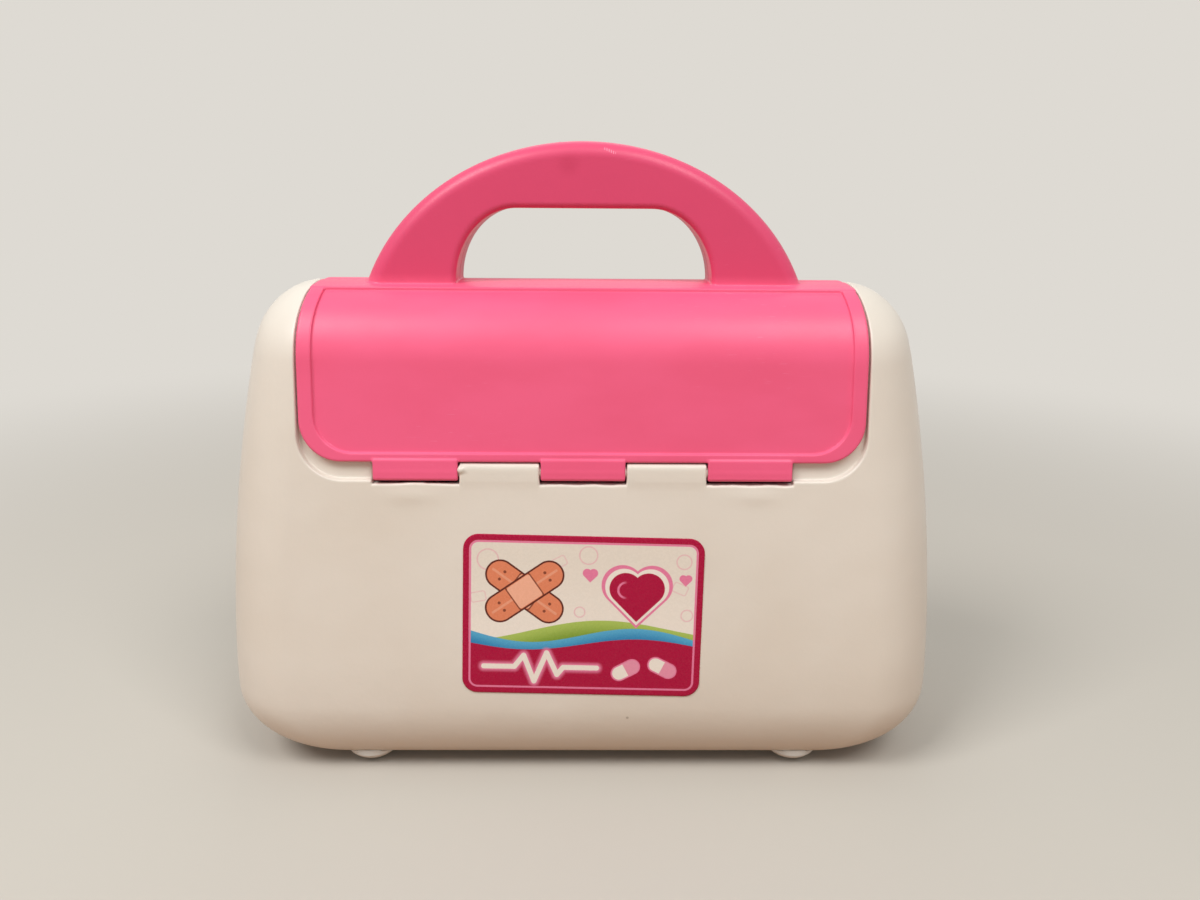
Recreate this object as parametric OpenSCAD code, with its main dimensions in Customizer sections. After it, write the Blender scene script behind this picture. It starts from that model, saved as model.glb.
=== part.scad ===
// Toy doctor case: a blow-moulded white case with a hinged pink door on its front and its rear.
// Each door carries half of the top strip and half of the carrying handle, and the halves meet
// at the middle of the case. Front is -Y, up is +Z, and the table is at z = 0.

/* [Case] */
// Width of the case at its widest
case_w = 241; // [200:1:280]
// Depth of the case at its widest
case_d = 95; // [86:1:110]
// Height of the crown of the shoulders above the table
crown_z = 163.2; // [158:1:176]
// Wall of the case
wall = 2; // [1.2:0.1:3]
// Radius of the upright corners, seen from above
corner_r = 24; // [14:1:28]
// Depth that the rounded bottom edge takes from the front and the rear
foot_edge_d = 13; // [8:0.5:16]
// Height of the rounded bottom edge at the front and the rear
foot_edge_h = 24; // [12:0.5:26]
// Radius of the bottom corners, seen from the front
side_edge_r = 25; // [16:1:30]
// Height up to which the front and rear faces stand upright
upright_z = 32; // [30:0.5:40]
// Lean of the faces above that, in degrees
lean = 8; // [5:0.5:9]
// Height at which the faces start to curve back to the crown
bend_z = 140; // [134:1:146]
// Radius of the slow inward bow of the sides, seen from the front
side_bow_r = 520; // [300:10:900]
// Height at which the sides start to curve in to the crown
shoulder_z = 144; // [138:1:150]
// Half width at which the shoulders reach the crown
shoulder_x = 80; // [70:1:84]
// Fullness of the shoulders, where 2 is an ellipse
shoulder_power = 2.9; // [2:0.1:3]

/* [Doors] */
// Width of a door
door_w = 180; // [150:1:190]
// Height of the bottom edge of the doors above the table
door_foot_z = 109; // [100:0.5:116]
// How far each side of a door is drawn in below the strip
door_taper = 1; // [0:0.1:4]
// Radius of the bottom corners of a door
door_r = 13; // [6:0.5:18]
// Thickness of a door
door_t = 2; // [1.6:0.1:2.6]
// Gap between the sides of a door and the case
door_gap = 0.8; // [0.8:0.1:2]
// Gap between the back of a door and the ledge that it rests on
seat_gap = 0.3; // [0.2:0.05:0.6]
// Depth of the top strip from front to rear, both doors together
strip_d = 28; // [26:1:44]
// Width of the top strip
strip_w = 178.2; // [150:1:186]
// Rise of the crown over the front edge of the strip
crown_rise = 1.2; // [0.2:0.1:3]
// Gap between the two doors at the middle of the case
seam_gap = 0.3; // [0.2:0.1:0.6]
// Width of the raised rim at the sides of a door
rim_w = 4.8; // [3:0.1:8]
// Height of the raised rim along the bottom of a door
rim_foot = 2.9; // [2:0.1:6]
// Depth of the sunk panel inside the rim
panel_sink = 0.9; // [0.4:0.1:1]
// Radius of the bottom corners of the sunk panel
panel_foot_r = 12; // [4:0.5:16]
// Radius of the top corners of the sunk panel
panel_top_r = 3; // [3:0.5:14]
// How far the front lip of the strip stands out over the rim
lip_out = 1; // [0.4:0.1:1.6]
// Height of the front lip of the strip
lip_h = 1.8; // [1:0.1:2.6]

/* [Case mouth] */
// Width of the ledge beside the mouth, under the sides of the doors
ledge_w = 6; // [4:0.5:9]
// Height of the ledge below the mouth, over the bottom edge of the doors
ledge_h = 4; // [3:0.5:8]
// Radius of the bottom corners of the mouth
mouth_r = 10; // [5:0.5:16]
// Radius of the bottom corners of the recess that the doors lie in
recess_r = 15; // [8:0.5:20]

/* [Hinges] */
// Radius of a door knuckle
knuckle_r = 3; // [2.7:0.1:3.4]
// Width of a door knuckle
knuckle_w = 27; // [18:0.5:32]
// Distance from the middle knuckle to an outer one
knuckle_pitch = 53.4; // [50:0.2:60]
// How far a knuckle stands out from the face of the case
knuckle_out = 1; // [0.6:0.1:1.2]
// Gap between a knuckle and the case beside it
knuckle_gap = 0.6; // [0.4:0.1:1.2]
// Gap between a knuckle and the case below it
notch_gap = 0.7; // [0.4:0.1:1.2]
// Play between the top of a knuckle and the bottom edge of a door
hinge_rise = 0.4; // [0.2:0.1:0.8]
// Radius of the rounded head of a case tab
tab_r = 2.8; // [2.4:0.1:2.9]
// Height of the web below the head of a case tab
tab_web = 9; // [6:0.5:14]
// Radius of a hinge pin
pin_r = 1.6; // [1.2:0.1:1.8]
// Clearance of a pin in the case tabs, on the radius
pin_tab_fit = 0.02; // [0.01:0.01:0.05]
// Clearance of a pin in the knuckles, on the radius
pin_knuckle_fit = 0.06; // [0.03:0.01:0.1]
// How far the ends of a pin lie inside the outer knuckles
pin_inset = 0.4; // [0.2:0.1:1]

/* [Handle] */
// Height of the top of the handle above the table
handle_z = 207.6; // [195:0.2:220]
// Half width of the ellipse of the handle's outline
handle_a = 76.6; // [70:0.2:82]
// Height of the middle of that ellipse above the table
handle_mid_z = 140; // [130:1:148]
// Thickness of the handle, both halves together
handle_t = 22; // [18:0.5:26]
// Width of the finger opening
grip_w = 84.6; // [74:0.2:90]
// Height of the top of the finger opening above the table
grip_z = 186.8; // [182:0.2:190]
// Width of each rounded top corner of the finger opening
grip_r = 20.5; // [10:0.1:24]
// Height of each rounded top corner of the finger opening
grip_rise = 24.2; // [10:0.2:26]
// Rounding of the outer edge of the handle
handle_edge_r = 5; // [3:0.5:6]
// Rounding of the inner edge of the handle
grip_edge_r = 2; // [1:0.5:3]
// Wall of the hollow handle halves
handle_wall = 2; // [1.4:0.1:2.6]
// Thickness of the ribs inside a handle half
rib_t = 1.2; // [0.8:0.1:2]
// Spacing of the ribs over the finger opening
rib_pitch = 20; // [12:1:28]

/* [Catch] */
// Thickness of the catch blade
blade_t = 2; // [1.4:0.1:3]
// Height of the catch blade
blade_h = 6; // [4:0.5:9]
// How far the catch blade reaches past the seam
blade_out = 3.5; // [2:0.5:5]
// Clearance between the blade and each rib that grips it
blade_fit = 0.06; // [0.03:0.01:0.12]
// Height of the middle of the blade over the crown
blade_rise = 9; // [7:0.5:12]

/* [Label and feet] */
// Width of the label
label_w = 78; // [40:1:100]
// Height of the label along the face
label_h = 53.6; // [30:0.2:60]
// Height of the bottom edge of the label above the table
label_z = 32.4; // [32:0.2:40]
// Thickness of the label
label_t = 0.3; // [0.1:0.05:0.6]
// Corner radius of the label
label_r = 5; // [1:0.5:10]
// Turn of the label on the face, in degrees
label_turn = 1.2; // [0:0.2:4]
// Height of a foot
foot_h = 4; // [3:0.5:6]
// Diameter of a foot
foot_w = 18; // [12:0.5:20]
// Diameter of the flat under a foot
foot_flat = 6; // [3:0.5:9]
// Distance from the side of the case to the middle of a foot
foot_side = 46.8; // [36:0.1:70]
// Distance from the front or rear of the case to the middle of a foot
foot_front = 16; // [14:0.5:24]

/* [Hidden] */
$fn = 48;
reach = 400;

// Side profile, as half depths: an upright face, a leaning face, an arc and the crown
face_d = case_d / 2;
lip_d = strip_d / 2;
lip_z = crown_z - crown_rise;
function lean_d(z) = face_d - max(0, z - upright_z) * tan(lean);
bend = [lean_d(bend_z), bend_z];
chord = [lip_d, lip_z] - bend;
turn_out = cos(lean) * -chord[0] - sin(lean) * chord[1];
arc_r = norm(chord) * norm(chord) / (2 * turn_out);
arc_mid = bend - arc_r * [cos(lean), sin(lean)];
arc_turn = 2 * asin(turn_out / norm(chord));
crown_r = (lip_d * lip_d + crown_rise * crown_rise) / (2 * crown_rise);
crown_mid = crown_z - crown_r;
foot_edge_z = foot_h + foot_edge_h;
function root(v) = sqrt(max(0, v));
function bow(a, b, h) = a * root(1 - pow(h / b, 2));

// Half depth of the case at height z, drawn in by t
function half_d(z, t = 0) =
    z < foot_edge_z ? face_d - foot_edge_d + bow(foot_edge_d - t, foot_edge_h - t, foot_edge_z - z)
    : z < bend_z ? lean_d(z) - t
    : z < lip_z ? arc_mid[0] + root(pow(arc_r - t, 2) - pow(z - arc_mid[1], 2))
    : root(pow(crown_r - t, 2) - pow(z - crown_mid, 2));

// Half width of the case at height z, drawn in by t
side_edge_z = foot_h + side_edge_r;
bow_start_z = 36;
bow_z = max(bow_start_z, side_edge_z);
function side_w(z) = case_w / 2 - pow(max(0, z - bow_z), 2) / (2 * side_bow_r);
shoulder_rise = 0.1;
shoulder_b = crown_z + shoulder_rise - shoulder_z;
function swell(s) = pow(max(0, 1 - pow(s, shoulder_power)), 1 / shoulder_power);
function half_w(z, t = 0) =
    z < side_edge_z ? case_w / 2 - side_edge_r + bow(side_edge_r - t, side_edge_r - t, side_edge_z - z)
    : z < shoulder_z ? side_w(z) - t
    : shoulder_x + (side_w(z) - shoulder_x - t) * swell(min(1, (z - shoulder_z) / (shoulder_b - t)));

// A closed ring of the case at height z, and a solid through such rings
corner_share = 0.96;
corner_steps = 6;
ring_n = 4 * (corner_steps + 1);
function ring_r(z, t) = min(corner_r - t, half_d(z, t) * corner_share);
function ring(z, t) = [for (q = [0:3], k = [0:corner_steps])
    let (a = 90 * (q + k / corner_steps), r = ring_r(z, t), sx = (q == 0 || q == 3) ? 1 : -1, sy = q < 2 ? 1 : -1)
    [sx * (half_w(z, t) - r) + r * cos(a), sy * (half_d(z, t) - r) + r * sin(a), z]];
module loft(levels, t) {
    rows = len(levels) - 1;
    points = [for (z = levels) each ring(z, t)];
    sides = [for (i = [0:rows - 1], k = [0:ring_n - 1])
        let (a = i * ring_n + k, b = i * ring_n + (k + 1) % ring_n)
        each [[a, a + ring_n, b], [b, a + ring_n, b + ring_n]]];
    bottom = [[for (k = [0:ring_n - 1]) k]];
    top = [[for (k = [ring_n - 1:-1:0]) rows * ring_n + k]];
    polyhedron(points, concat(bottom, sides, top), convexity = 6);
}
function foot_levels(t) = let (h = foot_edge_h - t)
    [for (k = [0:5]) foot_edge_z - h * cos(15 * k)];
level_gap = 0.2;
edge_end_z = max(foot_edge_z + level_gap, side_edge_z);
face_start_z = max(edge_end_z + level_gap, upright_z);
function face_levels() = concat([foot_edge_z + level_gap / 20, edge_end_z],
    [for (k = [0:6]) face_start_z + (bend_z - face_start_z) * k / 6]);
crown_stop = 0.08;
cavity_drop = 1;
function crown_levels(t) = let (z0 = shoulder_z + level_gap, z1 = crown_z - t - crown_stop)
    [for (k = [0:9]) z0 + (z1 - z0) * sin(10 * k)];
outer_levels = concat(foot_levels(0), face_levels(), crown_levels(0));
inner_levels = concat(foot_levels(wall), face_levels(), crown_levels(wall + cavity_drop));
module case_outer() loft(outer_levels, 0);
module case_inner() loft(inner_levels, wall);

// Points along the face, the arc and the crown, drawn in by t, from height z0 to depth d1
arc_steps = 10;
crown_steps = 6;
function profile(t, z0, d1) = let (a0 = asin((lip_d - t) / (crown_r - t)), a1 = asin(d1 / (crown_r - t)))
    concat([[-(lean_d(z0) - t / cos(lean)), z0]],
    [for (k = [0:arc_steps]) let (a = lean + arc_turn * k / arc_steps)
        [-(arc_mid[0] + (arc_r - t) * cos(a)), arc_mid[1] + (arc_r - t) * sin(a)]],
    [for (k = [0:crown_steps]) let (a = a0 + (a1 - a0) * k / crown_steps)
        [-(crown_r - t) * sin(a), crown_mid + (crown_r - t) * cos(a)]]);
function backwards(list) = [for (k = [len(list) - 1:-1:0]) list[k]];

// A band between two depths under the face, as wide as w, from height z0 to depth d1
module band(t0, t1, z0, d1, w)
    rotate([90, 0, 90])
        linear_extrude(w, center = true)
            polygon(concat(profile(t0, z0, d1), backwards(profile(t1, z0, d1))));

// An upright outline with round bottom corners, drawn in slightly towards the top
taper_h = 14;
taper_z0 = lip_z - taper_h;
taper_z1 = lip_z - lip_h;
function outline_right(hw, z0, r, tw, top_w) = concat(
    [for (k = [0:8]) let (a = -90 + 90 * k / 8) [hw - r + r * cos(a), z0 + r + r * sin(a)]],
    [for (k = [1:5]) let (s = k / 5) [hw - (hw - tw) * s * s, taper_z0 + (taper_z1 - taper_z0) * s]],
    [[top_w, taper_z1], [top_w, reach]]);
function mirrored(list) = [for (p = backwards(list)) [-p[0], p[1]]];
module front_prism(points)
    rotate([90, 0, 0])
        linear_extrude(reach)
            polygon(points);
module outline(hw, z0, r, tw, top_w) {
    right = outline_right(hw, z0, r, tw, top_w);
    front_prism(concat(right, mirrored(right)));
}

// Both sides of the case
module front_and_rear() {
    children();
    rotate([0, 0, 180]) children();
}

// Hinge line
hinge_z = door_foot_z - hinge_rise - knuckle_r;
hinge_d = lean_d(hinge_z) + knuckle_out - knuckle_r;
notch_z = hinge_z - knuckle_r - notch_gap;
notch_w = knuckle_w + 2 * knuckle_gap;
tab_w = knuckle_pitch - notch_w;
module hinge_rod(r, length)
    translate([0, -hinge_d, hinge_z])
        rotate([0, 90, 0])
            cylinder(r = r, h = length, center = true);

// Case
recess_sink = door_t + seat_gap;
door_top_w = door_w / 2 - door_taper;
mouth_z = door_foot_z + ledge_h;
recess_rise = 0.4;
recess_z = notch_z + recess_rise;
cut_start = 6;
recess_hw = door_w / 2 + door_gap;
strip_hw = strip_w / 2;
module recess_outline(grow) outline(recess_hw + grow, recess_z - grow, recess_r + grow,
    door_top_w + door_gap + grow, strip_hw + door_gap + grow);
module mouth_cut()
    outline(door_w / 2 - ledge_w, mouth_z, mouth_r, door_w / 2 - ledge_w, door_w / 2 - ledge_w);
module recess_cut()
    intersection() {
        band(-cut_start, recess_sink, recess_z - cut_start, 0, 2 * case_w);
        recess_outline(0);
    }
module ledge_zone()
    intersection() {
        band(0, recess_sink + wall, recess_z - 2 * wall, 0, case_w);
        recess_outline(wall);
    }
notch_over = 0.6;
notch_h = 2 * knuckle_r + notch_gap + hinge_rise + notch_over;
module knuckle_notches()
    for (i = [-1:1])
        translate([i * knuckle_pitch - notch_w / 2, -reach, notch_z])
            cube([notch_w, reach - hinge_d + knuckle_r + notch_gap, notch_h]);
module case_tabs()
    for (s = [-1, 1])
        translate([s * knuckle_pitch / 2, 0, 0]) {
            hinge_rod(tab_r, tab_w);
            translate([-tab_w / 2, -hinge_d - tab_r, hinge_z - tab_web])
                cube([tab_w, 2 * tab_r, tab_web]);
        }
module case_shell()
    difference() {
        case_outer();
        difference() {
            case_inner();
            front_and_rear() ledge_zone();
        }
        front_and_rear() {
            recess_cut();
            mouth_cut();
            knuckle_notches();
        }
    }
module body()
    color("antiquewhite")
        difference() {
            union() {
                case_shell();
                front_and_rear() case_tabs();
            }
            front_and_rear() hinge_rod(pin_r + pin_tab_fit, pin_l);
        }

// Handle half: two outlines, outer and inner, joined into a hollow arch
arch_z0 = crown_z - 1;
handle_d = handle_t / 2;
handle_b = handle_z - handle_mid_z;
grip_hw = grip_w / 2;
bend_steps = 14;
top_steps = 8;
arch_n = 2 * bend_steps + top_steps;
function arch_outer(s, z0) = let (a = handle_a - s, b = handle_b - s, a0 = asin((z0 - handle_mid_z) / b))
    [for (k = [0:arch_n]) let (t = a0 + (180 - 2 * a0) * k / arch_n) [a * cos(t), handle_mid_z + b * sin(t)]];
function grip_x(z, s) = grip_hw - grip_r + bow(grip_r + s, grip_rise + s, max(0, z - grip_z + grip_rise));
function arch_side(s, z0) = [for (k = [0:bend_steps - 1])
    let (z = z0 + (grip_z + s - z0) * sin(90 * k / bend_steps)) [grip_x(z, s), z]];
function arch_inner(s, z0) = let (side = arch_side(s, z0), xc = grip_hw - grip_r)
    concat(side,
    [for (k = [0:top_steps]) [xc - 2 * xc * k / top_steps, grip_z + s]],
    [for (k = [bend_steps - 1:-1:0]) [-side[k][0], side[k][1]]]);
function shrink(r, d, depth) = d <= depth - r ? 0 : r - root(r * r - pow(d - depth + r, 2));
module arch(levels, outer_r, inner_r, depth, inset, z0) {
    rows = len(levels) - 1;
    m = arch_n + 1;
    points = [for (d = levels) each concat(
        [for (p = arch_outer(inset + shrink(outer_r, d, depth), z0)) [p[0], -d, p[1]]],
        [for (p = arch_inner(inset + shrink(inner_r, d, depth), z0)) [p[0], -d, p[1]]])];
    walls = [for (i = [0:rows - 1], k = [0:arch_n - 1])
        let (a = 2 * m * i + k, b = a + 2 * m, c = a + m, d = c + 2 * m)
        each [[a, b, b + 1], [a, b + 1, a + 1], [c, c + 1, d + 1], [c, d + 1, d]]];
    ends = [for (i = [0:rows - 1]) let (a = 2 * m * i, b = a + 2 * m)
        each [[a, a + m, b + m, b], [a + arch_n, b + arch_n, b + m + arch_n, a + m + arch_n]]];
    caps = [for (k = [0:arch_n - 1]) let (a = k, b = 2 * m * rows + k)
        each [[a, a + 1, a + m + 1, a + m], [b, b + m, b + m + 1, b + 1]]];
    polyhedron(points, concat(walls, ends, caps), convexity = 8);
}
function edge_levels(d0, depth, r) = concat([d0], [for (k = [0:5]) depth - r + r * sin(18 * k)]);
cavity_edge_r = 0.5;
cavity_z0 = crown_z + 0.5;
catch_x = (grip_hw + handle_a * cos(asin((crown_z + blade_rise - handle_mid_z) / handle_b))) / 2;
blade_z = crown_z + blade_rise;
module handle_ribs() {
    for (i = [-1:1])
        translate([i * rib_pitch - rib_t / 2, -handle_d, grip_z])
            cube([rib_t, handle_d - seam_gap - 1, handle_z - grip_z]);
    for (s = [-1, 1])
        translate([catch_x + s * (blade_t / 2 + blade_fit + rib_t / 2) - rib_t / 2, -handle_d, crown_z])
            cube([rib_t, handle_d - seam_gap, 2 * blade_rise]);
}
module catch_blade()
    translate([-catch_x - blade_t / 2, -handle_d + handle_wall / 2, blade_z - blade_h / 2])
        cube([blade_t, handle_d - handle_wall / 2 + blade_out, blade_h]);
module handle_half() {
    cavity_d = handle_d - handle_wall;
    difference() {
        arch(edge_levels(seam_gap / 2, handle_d, handle_edge_r), handle_edge_r, grip_edge_r, handle_d, 0, arch_z0);
        difference() {
            arch(edge_levels(-1, cavity_d, handle_edge_r - handle_wall), handle_edge_r - handle_wall,
                cavity_edge_r, cavity_d, handle_wall, cavity_z0);
            handle_ribs();
        }
    }
    catch_blade();
}

// Door
band_w = 2 * door_w;
module door_skin()
    intersection() {
        band(0, door_t, door_foot_z, seam_gap / 2, band_w);
        outline(door_w / 2, door_foot_z, door_r, door_top_w, strip_hw);
    }
panel_hw = door_w / 2 - rim_w;
panel_z0 = door_foot_z + rim_foot;
panel_z1 = lip_z - lip_h;
module panel_cut()
    intersection() {
        band(-cut_start, panel_sink, door_foot_z, lip_d - 2, band_w);
        front_prism(concat(
            [for (k = [0:8]) let (a = -90 + 90 * k / 8)
                [panel_hw - panel_foot_r * (1 - cos(a)), panel_z0 + panel_foot_r * (1 + sin(a))]],
            [for (k = [0:6]) let (a = 90 * k / 6)
                [panel_hw - panel_top_r * (1 - cos(a)), panel_z1 - panel_top_r * (1 - sin(a))]],
            [for (k = [6:-1:0]) let (a = 90 * k / 6)
                [-panel_hw + panel_top_r * (1 - cos(a)), panel_z1 - panel_top_r * (1 - sin(a))]],
            [for (k = [8:-1:0]) let (a = -90 + 90 * k / 8)
                [-panel_hw + panel_foot_r * (1 - cos(a)), panel_z0 + panel_foot_r * (1 + sin(a))]]));
    }
// Lip: a bar along the front edge of the strip, rounded at the top and rooted in the strip
lip_root = 2;
lip_shade = 0.2;
module strip_lip() {
    a = lean + arc_turn;
    out = lip_out * [-cos(a), sin(a)];
    top = [-lip_d, lip_z];
    drop = [-lip_h * sin(a), -lip_h * cos(a)];
    rotate([90, 0, 90])
        linear_extrude(strip_w, center = true)
            polygon([top - out / 2, top + [lip_root, lip_shade], top,
                top + (1 - lip_shade) * out + lip_shade * drop / 2,
                top + out + 2 * lip_shade * drop, top + out + drop, top - out + drop]);
}
module knuckles()
    for (i = [-1:1])
        translate([i * knuckle_pitch, 0, 0])
            difference() {
                union() {
                    hinge_rod(knuckle_r, knuckle_w);
                    translate([-knuckle_w / 2, -lean_d(door_foot_z), hinge_z])
                        cube([knuckle_w, door_t, door_foot_z - hinge_z + 1]);
                }
                hinge_rod(pin_r + pin_knuckle_fit, 2 * knuckle_w);
            }
module door() {
    difference() {
        union() {
            door_skin();
            strip_lip();
        }
        panel_cut();
    }
    knuckles();
    handle_half();
}
module front_door() color("hotpink") door();
module rear_door() color("hotpink") rotate([0, 0, 180]) door();

// Hinge pins
pin_l = 2 * knuckle_pitch + knuckle_w - 2 * pin_inset;
module front_hinge_pin() color("ivory") hinge_rod(pin_r, pin_l);
module rear_hinge_pin() color("ivory") rotate([0, 0, 180]) hinge_rod(pin_r, pin_l);

// Label, laid on the leaning part of the front face
module label()
    color("mediumvioletred")
        translate([0, -lean_d(label_z), label_z])
            rotate([90 - lean, 0, 0])
                translate([0, label_h / 2, 0])
                    rotate(-label_turn)
                        linear_extrude(label_t)
                            label_outline();
module label_outline() {
    x = label_w / 2 - label_r;
    y = label_h / 2 - label_r;
    square([label_w, 2 * y], center = true);
    square([2 * x, label_h], center = true);
    for (i = [-1, 1], j = [-1, 1])
        translate([i * x, j * y]) circle(label_r);
}

// Feet: soft domes whose tops fit the rounded underside of the case
foot_c = (foot_w * foot_w / 4 + foot_h * foot_h - foot_flat * foot_flat / 4) / (2 * foot_h);
foot_r = root(foot_flat * foot_flat / 4 + foot_c * foot_c);
foot_a0 = asin(foot_flat / 2 / foot_r);
foot_a1 = asin(foot_w / 2 / foot_r);
foot_top = 2 * foot_h;
foot_x = case_w / 2 - foot_side;
foot_y = case_d / 2 - foot_front;
module foot(sx, sy)
    color("whitesmoke")
        difference() {
            translate([sx * foot_x, sy * foot_y, 0])
                rotate_extrude()
                    polygon(concat([[0, foot_top], [0, 0]],
                        [for (k = [0:8]) let (a = foot_a0 + (foot_a1 - foot_a0) * k / 8)
                            [foot_r * sin(a), foot_c - foot_r * cos(a)]],
                        [[foot_w / 2, foot_top]]));
            case_outer();
        }
module front_left_foot() foot(-1, -1);
module front_right_foot() foot(1, -1);
module rear_left_foot() foot(-1, 1);
module rear_right_foot() foot(1, 1);

body();
front_door();
rear_door();
front_hinge_pin();
rear_hinge_pin();
label();
front_left_foot();
front_right_foot();
rear_left_foot();
rear_right_foot();
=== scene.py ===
"""Looks of the toy doctor case: a white blow-moulded case with two pink doors and a split handle.

The mouldings and the feet are written as depths: functions of a point in millimetres that are
negative inside the plastic and positive outside it. A net of four-sided faces is laid over each
depth, so that edges, fillets and hollows come out of the same formulas. The hinge pins and the label
are rings of points joined by faces.
"""

import logging
import math
from collections.abc import Callable, Sequence
from dataclasses import dataclass, field
from enum import Enum

import bmesh
import bpy
import numpy as np
from mathutils import Matrix, Vector
from numpy.typing import NDArray


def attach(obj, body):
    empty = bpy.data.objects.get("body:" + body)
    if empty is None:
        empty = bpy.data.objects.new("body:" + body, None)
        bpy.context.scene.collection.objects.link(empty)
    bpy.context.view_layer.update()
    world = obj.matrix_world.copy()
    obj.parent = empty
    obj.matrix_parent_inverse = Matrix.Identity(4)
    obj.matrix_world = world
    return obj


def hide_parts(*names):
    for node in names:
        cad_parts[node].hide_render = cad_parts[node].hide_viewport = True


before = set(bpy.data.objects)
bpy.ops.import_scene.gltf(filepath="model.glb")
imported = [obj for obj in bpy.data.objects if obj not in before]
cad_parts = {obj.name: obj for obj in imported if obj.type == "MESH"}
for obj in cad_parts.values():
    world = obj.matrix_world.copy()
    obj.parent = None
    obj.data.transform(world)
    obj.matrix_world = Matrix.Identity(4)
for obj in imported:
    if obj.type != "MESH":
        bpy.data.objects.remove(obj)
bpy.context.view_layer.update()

log = logging.getLogger("doctor_case")

Numbers = NDArray[np.float64]
Depth = Callable[[Numbers, Numbers, Numbers], Numbers]
Color = tuple[float, float, float]
MM = 0.001


def smooth_max(a: Numbers, b: Numbers, k: float) -> Numbers:
    """Depth of what two forms share, with the edge between them softened over k."""
    h = np.maximum(k - np.abs(a - b), 0.0) / k
    return np.maximum(a, b) + h * h * k / 4


def smooth_min(a: Numbers, b: Numbers, k: float) -> Numbers:
    """Depth of two forms as one, with the inner corner between them softened over k."""
    return -smooth_max(-a, -b, k)


def round_max(a: Numbers, b: Numbers, r: Numbers | float) -> Numbers:
    """Depth of what two forms share, with a round edge of radius r between them."""
    p, q = a + r, b + r
    return np.hypot(np.maximum(p, 0), np.maximum(q, 0)) - r + np.minimum(np.maximum(p, q), 0)


def block(spans: Sequence[tuple[Numbers, float, float]], k: float) -> Numbers:
    """Depth of a block between pairs of planes.

    Args:
        spans: For each direction the coordinate, the middle and the half width.
        k: Softening of its edges, in millimetres.

    Returns:
        The depth of the block.
    """
    depth = None
    for value, middle, half in spans:
        side = np.abs(value - middle) - half
        depth = side if depth is None else smooth_max(depth, side, k)
    return depth


class Face(Enum):
    """Face of the case; the value is the sign of its place from front to rear."""

    FRONT = -1
    REAR = 1


class End(Enum):
    """End of the case; the value is the sign of its place sideways."""

    LEFT = -1
    RIGHT = 1


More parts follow.
